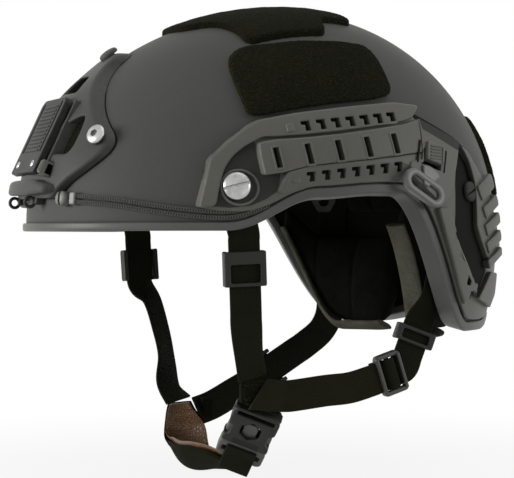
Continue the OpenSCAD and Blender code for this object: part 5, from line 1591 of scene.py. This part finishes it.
    def elastic_route(self):
        self.junction = self.front_left_end + [0, 4.5, -JUNCTION[2] / 2 - 1.9]
        end = self.junction + [0.5, JUNCTION[1] / 2 + SEAT, -2.4]
        start_at = self.lock_mid - self.lean * (LOCK_SPAN / 2 + 1)
        over = self.junction + [JUNCTION[0] / 2 + 1.0, 5.0, -1.6]
        self.elastic = [start_at + self.lean * 4, start_at, start_at - self.lean * 4,
                        start_at + [-1.4, -15.8, -4.6], start_at + [-2, -30, -5.8],
                        start_at + [-3, -47, -7.8], end + [1.2, 1, 0], over, over + [0.3, -7.5, 0.8]]
        self.elastic_wide = [[0, -0.31, 0.95], [0, -0.31, 0.95], [0, -0.3, 0.95], [0, -0.14, 1],
                             [0, -0.05, 1], [0, 0, 1], [0, 0.1, 1], [0, 0.1, 1], [0, 0.1, 1]]

    def chin_routes(self):
        self.cup_near = np.array([45.5, -46.9, -126.4])
        self.chin_start = self.junction + [-0.4, 1.3, -JUNCTION[2] / 2 - 1.6]
        self.chin_way = unit(self.cup_near - self.chin_start)
        self.chin_wide = np.array([0.3, 0.9, -0.38])
        self.chin_face = unit(np.cross(self.chin_way, self.chin_wide))
        self.chin_side = np.cross(self.chin_way, self.chin_face)
        self.junction_right = np.array([-42.6, -31.2, -108.2])
        cup_end = self.chin_start + self.chin_way * (SOCKET_AT + SOCKET_L + SEAT + PLUG_L + 4.6)
        self.cup_line = [self.front_right_end + [1.3, 0.3, -1.5], [-42.2, -47.3, -111], [-39.6, -46, -119.6],
                         [-30, -46.6, -127.6], [-10, -51.3, -130.3], [12, -52.4, -128.5], [30.5, -50, -128.4],
                         cup_end]
        self.cup_up = [[0.38, 0.92, 0.05], [0.38, 0.92, 0], [0.36, 0.92, -0.1], [0.25, 0.9, -0.3],
                       [0, 0.87, -0.5], [0, 0.87, -0.5], [0.15, 0.88, -0.45], self.chin_wide]
        self.cup_half = [7, 9.5, 12.5, 12.5, 12.5, 12, 11, mm("harness", "web") / 2]
        self.cup_bow = [1, 2, 4, 6, 6.5, 5, 3, 0.5]

    @staticmethod
    def flip(p):
        return np.array([-p[0], p[1], p[2]])

    def at_chin(self, d):
        return axes(self.chin_start + self.chin_way * d, self.chin_side, self.chin_way, self.chin_face)


def axes(p, x, y, z):
    m = Matrix((Vector(x), Vector(y), Vector(z))).transposed().to_4x4()
    m.translation = Vector(p)
    return m


def along_way(p, way, wide):
    """A place on a strap: X across it, Y down it and Z out of its outer face."""
    n = unit(np.cross(way, wide))
    return axes(p, unit(np.cross(way, n)), way, n)


ROLL = np.radians([-60, -20, 20, 60])
SLANT_OVER = 8.0


def ribbon(route, wide, w, t, slant=0.0):
    """Webbing with rolled edges, its run and width stored in millimetres; slant leans its last edge."""
    n = 8 * len(route)
    path, wide = catmull(route, n), catmull(wide, n)
    along = headings(path)
    up = unit(np.cross(along, wide))
    side = np.cross(up, along)
    half, r = w / 2, t / 2
    across = np.linspace(-half + r, half - r, 11)
    section = [(a, -r) for a in across] + [(half - r + r * math.cos(a), r * math.sin(a)) for a in ROLL]
    section += [(a, r) for a in across[::-1]]
    section += [(-half + r - r * math.cos(a), -r * math.sin(a)) for a in -ROLL[::-1]]
    bm = sweep(path, side, up, np.array(section))
    layer = bm.verts.layers.float_vector.new("run")
    run = distances(path)
    co = np.array([v.co for v in bm.verts])
    near = np.argmin(((co[:, None, :] - path[None]) ** 2).sum(-1), axis=1)
    for vert, i, p in zip(bm.verts, near, co):
        off = p - path[i]
        vert[layer] = (run[i] + off @ along[i], off @ side[i], off @ up[i])
        back = run[-1] - run[i]
        if slant and back < SLANT_OVER:
            vert.co = p + along[i] * (off @ side[i]) * slant * (1.0 - back / SLANT_OVER)
    return bm


def stitch_row(bm, points, normals, size=0.42, pitch=2.3):
    """A row of thread stitches, each a small drawn-out bead, over points in millimetres."""
    points, normals = np.asarray(points, float), np.asarray(normals)
    run = distances(points)

    def at(s, table):
        return np.array([np.interp(s, run, table[:, k]) for k in range(3)])
    for s in np.arange(pitch / 2, run[-1], pitch):
        n = unit(at(s, normals))
        y = unit(at(min(s + 0.4, run[-1]), points) - at(max(s - 0.4, 0), points))
        x = unit(np.cross(y, n))
        bead = bmesh.new()
        bmesh.ops.create_icosphere(bead, subdivisions=1, radius=1.0)
        seat(bm, axes(at(s, points), x * size * 0.55, y * pitch * 0.36, n * size * 0.5), bead)


def sewn(bm, m, corners, lift, size=0.42):
    """Rows of stitches from corner to corner on the plane of m, lift above it."""
    shares = [k / 12 for k in range(12)]
    pts = [tuple(m @ Vector((ax + (bx - ax) * f, ay + (by - ay) * f, lift)))
           for (ax, ay), (bx, by) in zip(corners, corners[1:]) for f in shares]
    pts.append(tuple(m @ Vector((*corners[-1], lift))))
    n = tuple(m.to_3x3() @ Vector((0, 0, 1)))
    stitch_row(bm, pts, [n] * len(pts), size)


def paint_from(bm, first, look):
    """Gives every face from number first on the look of that number."""
    bm.faces.ensure_lookup_table()
    for f in bm.faces[first:]:
        f.material_index = look


def build_straps():
    h = Harness(Dome())
    w, t = mm("harness", "web"), mm("harness", "web_thickness")

    def strap(name, bm, cad, look="webbing"):
        piece(name, bm, [look], "helmet", [cad], sharp=70, even=False)

    def band(name, route, wide, cad, look="webbing", slant=0.0):
        bm = bmesh.new()
        collect(bm, ribbon(route, wide, w, t, slant))
        strap(name, bm, cad, look)
    band("strap_front_left", h.front_left, h.front_left_wide, "front_strap_left")
    band("strap_front_right", h.front_right, h.front_right_wide, "front_strap_right")
    band("strap_rear_left", h.rear_left, h.rear_left_wide, "rear_strap_left")
    band("strap_rear_right", h.rear_right, h.rear_right_wide, "rear_strap_right")
    band("elastic_left", h.elastic, h.elastic_wide, "elastic_band_left", "elastic", -0.55)
    begin = h.chin_start
    stop = begin + h.chin_way * (SOCKET_AT - 2 * SEAT)
    band("strap_chin", [begin + [0, 0, 1.2], begin, (begin + stop) / 2, stop],
         [[0, 1, 0], [0.12, 0.97, -0.15], h.chin_wide, h.chin_wide], "chin_strap")
    high = SOCKET_T / 2 + 0.4
    tail = [(0, 1.7, high), (0, 7, high + 0.2), (0, 12, high + 1.3), (0, 16.7, high + 1.7)]
    bm = bmesh.new()
    seat(bm, h.at_chin(SOCKET_AT + SOCKET_L), ribbon(tail, [[1, 0, 0]] * 4, w, t))
    strap("strap_tail_end", bm, "strap_tail")


def build_junctions():
    h = Harness(Dome())
    thick, wide, tall = JUNCTION
    bm = bmesh.new()
    m = axes(h.junction, (0, 1, 0), (0, 0, 1), (1, 0, 0))
    flat(bm, m, box_loop(wide - 0.6, tall - 0.8), -thick / 2, 0.0, edge=0.7, radius=1.0, segments=3)
    flat(bm, m, box_loop(wide, tall), -0.2, thick / 2 - 0.2, edge=0.7, radius=1.0, segments=3)
    cloth_faces = len(bm.faces)
    a, b = wide / 2 - 1.7, tall / 2 - 1.5
    sewn(bm, m, [(-a, -b), (a, -b), (a, b), (-a, b), (-a, -b), (a, b)], thick / 2 - 0.1)
    sewn(bm, m, [(-a, b), (a, -b)], thick / 2 - 0.1)
    paint_from(bm, cloth_faces, 1)
    piece("junction_sewn_left", bm, ["cup", "thread"], "helmet", ["junction_left"])
    bm = bmesh.new()
    m = axes(h.junction_right, (0, 1, 0), (0, 0, 1), (1, 0, 0))
    flat(bm, m, box_loop(7.0, 13.0), -2.0, 2.0, edge=0.8, radius=1.0, segments=3)
    piece("junction_sewn_right", bm, ["cup"], "helmet", ["junction_right"])


def slider_mesh(m, w, tall, t, window, bar=2.4):
    """A slider: a front face with its window, and deep side bars past the edges of the webbing."""
    bm = bmesh.new()
    clear = 0.35
    inner = 1.6 / 2 + clear
    wide = w + 2 * (bar + clear)
    hole = box_loop(w - 1.2, window[1] - window[0], 0.0, (window[0] + window[1]) / 2)
    flat(bm, m, box_loop(wide, tall), inner, t / 2, edge=0.75, radius=1.6, arc=4, segments=3, holes=[hole],
         hole_radius=0.9)
    for s in (-1, 1):
        side = box_loop(bar, tall, s * (wide - bar) / 2, 0.0)
        flat(bm, m, side, -t / 2, t / 2 - 0.3, edge=0.5, radius=0.9, arc=4, segments=2)
    return bm


def build_hardware():
    h = Harness(Dome())
    w = mm("harness", "web")
    t = mm("harness", "web_thickness") + 0.7 + 3.2
    at_front = along_way(h.front_line(-24.6), h.front_way, h.drop)
    at_left = along_way(h.rear_line(8), h.rear_way, h.rear_wide)
    at_right = along_way(h.rear_line_right(14), h.right_way, h.low_wide)
    jobs = [("slider_front_left", "front_slider_left", at_front, False, 18.5, (-2.2, 7.2)),
            ("slider_front_right", "front_slider_right", at_front, True, 18.5, (-2.2, 7.2)),
            ("slider_rear_left", "rear_slider_left", at_left, False, 9.0, (-2.2, 2.6)),
            ("slider_rear_right", "rear_slider_right", at_right, False, 9.0, (-2.2, 2.6))]
    for name, cad, m, flip, tall, window in jobs:
        bm = bmesh.new()
        collect(bm, slider_mesh(m, w, tall, t, window), flip=flip)
        piece(name, bm, ["moulded"], cad, [cad])

    up = np.cross([1, 0, 0], h.lean)
    m = axes(h.lock_mid, h.lean, up, (1, 0, 0))
    bm = bmesh.new()
    hole = box_loop(LOCK_SPAN - 3.2, w + 0.8)
    half = LOCK_DEEP / 2
    flat(bm, m, box_loop(LOCK_SPAN, w + 5.8), -half, half, edge=0.8, radius=2.2, arc=4, segments=3,
         holes=[hole], hole_radius=0.8)
    flat(bm, m, box_loop(2.6, w + 2.0), -half + 0.1, -0.1, edge=0.5, radius=0.6, segments=2)
    for s in (-1, 1):
        rib = box_loop(1.8, w + 3.6, s * (LOCK_SPAN / 2 - 1.1), 0.0)
        flat(bm, m, rib, half - 0.6, half + 0.7, edge=0.5, radius=0.8, segments=2)
    piece("ladder_lock", bm, ["lock"], "helmet", ["ladder_lock_left"])


def hexagon(r, y):
    turns = [math.radians(60 * k + 30) for k in range(6)]
    return [(r * math.cos(a), y + r * math.sin(a)) for a in turns]


def build_buckle():
    h = Harness(Dome())
    half, thick, skin = SOCKET_W / 2, SOCKET_T / 2, 2.4
    m = h.at_chin(SOCKET_AT)
    bm = bmesh.new()
    outline = [(-half + 1.5, 0), (half - 1.5, 0), (half, 2.5), (half, 11), (half - 2.6, 13.2),
               (half - 2.6, 19.2), (half, 21.2), (half, SOCKET_L), (-half, SOCKET_L), (-half, 21.2),
               (-half + 2.6, 19.2), (-half + 2.6, 13.2), (-half, 11), (-half, 2.5)]
    strap_slot = box_loop(SOCKET_W - 5, 2.6, 0.0, 3.5)
    for low, high, edge, holes in ((skin, thick, 1.0, [strap_slot, hexagon(6.2, 13.5)]),
                                   (-thick, -skin, 0.8, [strap_slot, hexagon(6.2, 13.5)])):
        flat(bm, m, outline, low, high, edge=edge, radius=1.2, segments=3, holes=holes, hole_radius=0.5)
    bar = [(-half, 0.2), (half, 0.2), (half, 2.2), (-half, 2.2)]
    flat(bm, m, bar, -skin - 0.2, skin + 0.2, edge=0.6, radius=0.8)
    back = [(-half, 5.0), (half, 5.0), (half, 10.6), (half - 3, 10.6), (half - 3, 8.0), (-half + 3, 8.0),
            (-half + 3, 10.6), (-half, 10.6)]
    flat(bm, m, back, -skin - 0.2, skin + 0.2, edge=0.3, radius=0.5)
    for s in (-1, 1):
        flat(bm, m, box_loop(2.6, 3.6, s * (half - 1.4), 23.0), -skin - 0.2, skin + 0.2, edge=0.3,
             radius=0.4)
    for k in range(3):
        flat(bm, m, box_loop(15.0, 0.8, 0.0, 21.6 + 1.2 * k), thick - 0.4, thick + 0.35, edge=0.25,
             radius=0.3)
    piece("buckle_socket", bm, ["moulded"], "helmet", ["buckle_female"])

    bm = bmesh.new()
    m = h.at_chin(SOCKET_AT + SOCKET_L + SEAT)
    prong = thick - 2 - 0.4
    plate = [(-half + 1, 0), (half - 1, 0), (half, 1.5), (half, 9.5), (half - 2, PLUG_L), (-half + 2, PLUG_L),
             (-half, 9.5), (-half, 1.5)]
    flat(bm, m, plate, -thick + 0.8, thick - 0.8, edge=0.9, radius=1.0, segments=3,
         holes=[box_loop(SOCKET_W - 5, 3.0, 0.0, 5.6)], hole_radius=0.5)
    tongue = [(-4, 0.5), (-4, -12.5), (-2.6, -15), (2.6, -15), (4, -12.5), (4, 0.5)]
    flat(bm, m, tongue, -prong, prong, edge=0.5, radius=0.6)
    for s in (-1, 1):
        arm = [(s * 6.1, 0.5), (s * 6.1, -9.0), (s * 8.9, -11.0), (s * 12.4, -11.2), (s * 12.6, -6.0),
               (s * 9.6, -4.0), (s * 8.9, 0.5)]
        flat(bm, m, arm, -prong, prong, edge=0.5, radius=0.8)
    piece("buckle_plug", bm, ["prongs"], "helmet", ["buckle_male"])


def saddle(h, n, shrink):
    """The chin cup's path, half width, bow, side and outward way at n places along it."""
    path = catmull(h.cup_line, n)
    along = headings(path)
    out = unit(np.cross(catmull(h.cup_up, n), along))
    return path, catmull(h.cup_half, n)[:, 0] - shrink, catmull(h.cup_bow, n)[:, 0], np.cross(along, out), out


def cup_layer(bm, h, low, high, shrink, n=96, m=18):
    """Adds one layer of the chin cup: a saddle between two heights, from its front edge to its rear edge."""
    path, halves, bows, side, out = saddle(h, n, shrink)
    share = np.linspace(-1, 1, m)
    r = (high - low) / 2
    mid = (high + low) / 2
    section = np.zeros((n, 2 * m + 4, 2))
    for i, (half, bow) in enumerate(zip(halves, bows)):
        across = share * (half - r)
        lower = [(a, mid - r + bow * (1 - (a / half) ** 2)) for a in across]
        upper = [(a, mid + r + bow * (1 - (a / half) ** 2)) for a in across[::-1]]
        right = [(half - r * 0.2, mid - r * 0.5), (half - r * 0.2, mid + r * 0.5)]
        left = [(-half + r * 0.2, mid + r * 0.5), (-half + r * 0.2, mid - r * 0.5)]
        section[i] = lower + right + upper + left
    collect(bm, sweep(path, side, out, section))


def on_leather(h, hide_t, places, n=400):
    """Points on the inner face of the leather, at (share along the cup, share from its front edge) places."""
    path, halves, bows, side, out = saddle(h, n, LINING_SHRINK)
    pts, normals = [], []
    for u, v in places:
        i = min(n - 1, int(u * (n - 1)))
        height = bows[i] * (1 - v * v) - LINING_GAP - hide_t - 0.05
        pts.append(path[i] + side[i] * halves[i] * v + out[i] * height)
        normals.append(-out[i])
    return pts, normals


def build_cup():
    h = Harness(Dome())
    hide_t = mm("harness", "leather")
    bm = bmesh.new()
    cup_layer(bm, h, 0.0, mm("harness", "cup"), 0.0)
    piece("cup_outer", bm, ["cup"], "helmet", ["chin_cup"], sharp=60)
    bm = bmesh.new()
    cup_layer(bm, h, -LINING_GAP - hide_t, -LINING_GAP, LINING_SHRINK)
    hide_faces = len(bm.faces)
    ends = np.linspace(0.03, 0.97, 60)
    rows = [[(u, v) for u in ends] for v in (-0.86, 0.86)]
    rows += [[(0.09 + 0.035 * math.cos(a), 0.62 * math.sin(a)) for a in np.linspace(-1.5, 1.5, 24)],
             [(0.235, -0.45), (0.15, -0.05), (0.235, 0.35)]]
    for row in rows:
        stitch_row(bm, *on_leather(h, hide_t, row), 0.5, 2.0)
    paint_from(bm, hide_faces, 1)
    piece("cup_leather", bm, ["leather", "seam"], "helmet", ["chin_cup_lining"], sharp=60)


# Stage

WORLD_LIGHT = 0.17
WHITE = (1.0, 1.0, 1.0, 1.0)
FLOOR_TONE = (0.8, 0.8, 0.8, 1.0)
FLOOR_DROP = 0.001
CAMERA_AT = (1.0103, -0.4353, -0.0091)
CAMERA_TURN = (90.0, 0.0, 67.5)
LENS, SENSOR = 134.8, 36.0
# Each lamp: its name, its place in metres, its size in metres and its power in watts; all face the origin
LAMPS = [("Key", (-0.15, -1.55, 0.2), 0.6, 15.5), ("Top", (0.3, 0.3, 1.5), 1.2, 4.5),
         ("Fill", (1.15, 1.25, 0.4), 0.8, 7.0)]


def seen_or_mirrored(tree):
    """The light path node's outputs, and 1 where a ray comes from the camera or a glossy surface."""
    path = tree.nodes.new("ShaderNodeLightPath").outputs
    return path, maths(tree, "MAXIMUM", path["Is Camera Ray"], path["Is Glossy Ray"])


def blend(tree, factor, a, b, out):
    """Mixes two shaders into the output's surface."""
    both = node(tree, "ShaderNodeMixShader", {0: factor, 1: a.outputs[0], 2: b.outputs[0]})
    tree.links.new(both.outputs[0], out.inputs["Surface"])


def add_camera(scene):
    camera = bpy.data.objects.new("Camera", bpy.data.cameras.new("Camera"))
    camera.location = CAMERA_AT
    camera.rotation_euler = [math.radians(a) for a in CAMERA_TURN]
    camera.data.lens = LENS
    camera.data.sensor_width = SENSOR
    scene.collection.objects.link(camera)
    scene.camera = camera


def add_world(scene):
    """A dim grey world that the camera, mirrors and glass see as white."""
    world = bpy.data.worlds.new("Studio")
    scene.world = world
    world.use_nodes = True
    tree = world.node_tree
    tree.nodes.clear()
    out = tree.nodes.new("ShaderNodeOutputWorld")
    light = node(tree, "ShaderNodeBackground", {"Color": WHITE, "Strength": WORLD_LIGHT})
    white = node(tree, "ShaderNodeBackground", {"Color": WHITE, "Strength": 1.0})
    path, seen = seen_or_mirrored(tree)
    blend(tree, maths(tree, "MAXIMUM", seen, path["Is Transmission Ray"]), light, white, out)


def add_lamp(scene, name, place, size, power):
    data = bpy.data.lights.new(name, "AREA")
    data.shape = "SQUARE"
    data.size = size
    data.energy = power
    obj = bpy.data.objects.new(name, data)
    obj.location = place
    obj.rotation_euler = (-Vector(place)).to_track_quat("-Z", "Y").to_euler()
    scene.collection.objects.link(obj)


def floor_look():
    """A matt floor that fades to the white of the world away from the helmet."""
    material = bpy.data.materials.new("Floor")
    material.use_nodes = True
    tree = material.node_tree
    tree.nodes.clear()
    out = tree.nodes.new("ShaderNodeOutputMaterial")
    matt = node(tree, "ShaderNodeBsdfDiffuse", {"Color": FLOOR_TONE})
    glow = node(tree, "ShaderNodeEmission", {"Color": WHITE, "Strength": 1.0})
    far = node(tree, "ShaderNodeVectorMath", {0: surface(tree)}, operation="LENGTH").outputs["Value"]
    fade = node(tree, "ShaderNodeMapRange", {"Value": far, "From Min": 0.12, "From Max": 0.45, "To Min": 0.88,
                                             "To Max": 1.0}, interpolation_type="SMOOTHSTEP")
    _, seen = seen_or_mirrored(tree)
    blend(tree, maths(tree, "MULTIPLY", seen, fade.outputs["Result"]), matt, glow, out)
    return material


def build_stage():
    scene = bpy.context.scene
    scene.view_settings.view_transform = "Standard"
    add_camera(scene)
    add_world(scene)
    for lamp in LAMPS:
        add_lamp(scene, *lamp)
    bm = bmesh.new()
    bmesh.ops.create_grid(bm, x_segments=2, y_segments=2, size=6.0,
                          matrix=Matrix.Translation((0, 0, CAD_BOX[0].z - FLOOR_DROP)))
    mesh = bpy.data.meshes.new("Floor")
    bm.to_mesh(mesh)
    bm.free()
    floor = bpy.data.objects.new("Floor", mesh)
    scene.collection.objects.link(floor)
    mesh.materials.append(floor_look())


# Operators, one for each piece or group of like pieces


def operator(name, label, text, build):
    """An operator class that runs one builder."""
    def execute(self, context):
        build()
        return {"FINISHED"}
    return type("HELMET_OT_" + name, (bpy.types.Operator,),
                {"bl_idname": "helmet." + name, "bl_label": label, "__doc__": text, "execute": execute})


OPERATORS = [
    operator("stage", "Stage", "Camera, lamps, world and floor", build_stage),
    operator("shell", "Shell", "The coated shell", build_shell),
    operator("edging", "Edging", "The rubber edging round the rim", build_edging),
    operator("patches", "Loop pile", "The loop pile patches", build_patches),
    operator("shroud", "Front shroud", "The shroud, its insert plate, screws, block and lip", build_shroud),
    operator("bungees", "Bungee cords", "The bungee cords and their ends", build_bungees),
    operator("rails", "Side rails", "The side rails, their bolts, lock tabs and strap rings", build_rails),
    operator("straps", "Webbing", "The webbing of the chin harness", build_straps),
    operator("junctions", "Sewn junctions", "The sewn junctions of the webbing", build_junctions),
    operator("hardware", "Sliders", "The sliders and the ladder lock", build_hardware),
    operator("buckle", "Buckle", "The side-release buckle", build_buckle),
    operator("cup", "Chin cup", "The chin cup and its leather lining", build_cup),
    operator("pads", "Lining pads", "The stuffed pads and their hook pile discs", build_pads),
]


class HELMET_PT_panel(bpy.types.Panel):
    """The helmet's pieces"""

    bl_idname = "HELMET_PT_panel"
    bl_label = "Helmet"
    bl_space_type = "VIEW_3D"
    bl_region_type = "UI"
    bl_category = "Helmet"

    def draw(self, context):
        for group in ("shell", "rail", "harness", "colours"):
            box = self.layout.box()
            settings = getattr(context.scene, "helmet_" + group)
            for key in settings.__annotations__:
                box.prop(settings, key)
        for cls in OPERATORS:
            self.layout.operator(cls.bl_idname)


SETTINGS = {"shell": HELMET_PG_shell, "rail": HELMET_PG_rail, "harness": HELMET_PG_harness,
            "colours": HELMET_PG_colours}


def register():
    for group, cls in SETTINGS.items():
        bpy.utils.register_class(cls)
        setattr(bpy.types.Scene, "helmet_" + group, bpy.props.PointerProperty(type=cls))
    for cls in OPERATORS:
        bpy.utils.register_class(cls)
    bpy.utils.register_class(HELMET_PT_panel)


def unregister():
    bpy.utils.unregister_class(HELMET_PT_panel)
    for cls in reversed(OPERATORS):
        bpy.utils.unregister_class(cls)
    for group, cls in SETTINGS.items():
        delattr(bpy.types.Scene, "helmet_" + group)
        bpy.utils.unregister_class(cls)


def main():
    register()
    for cls in OPERATORS:
        getattr(bpy.ops.helmet, cls.bl_idname.split(".")[1])()


if __name__ == "__main__":
    main()
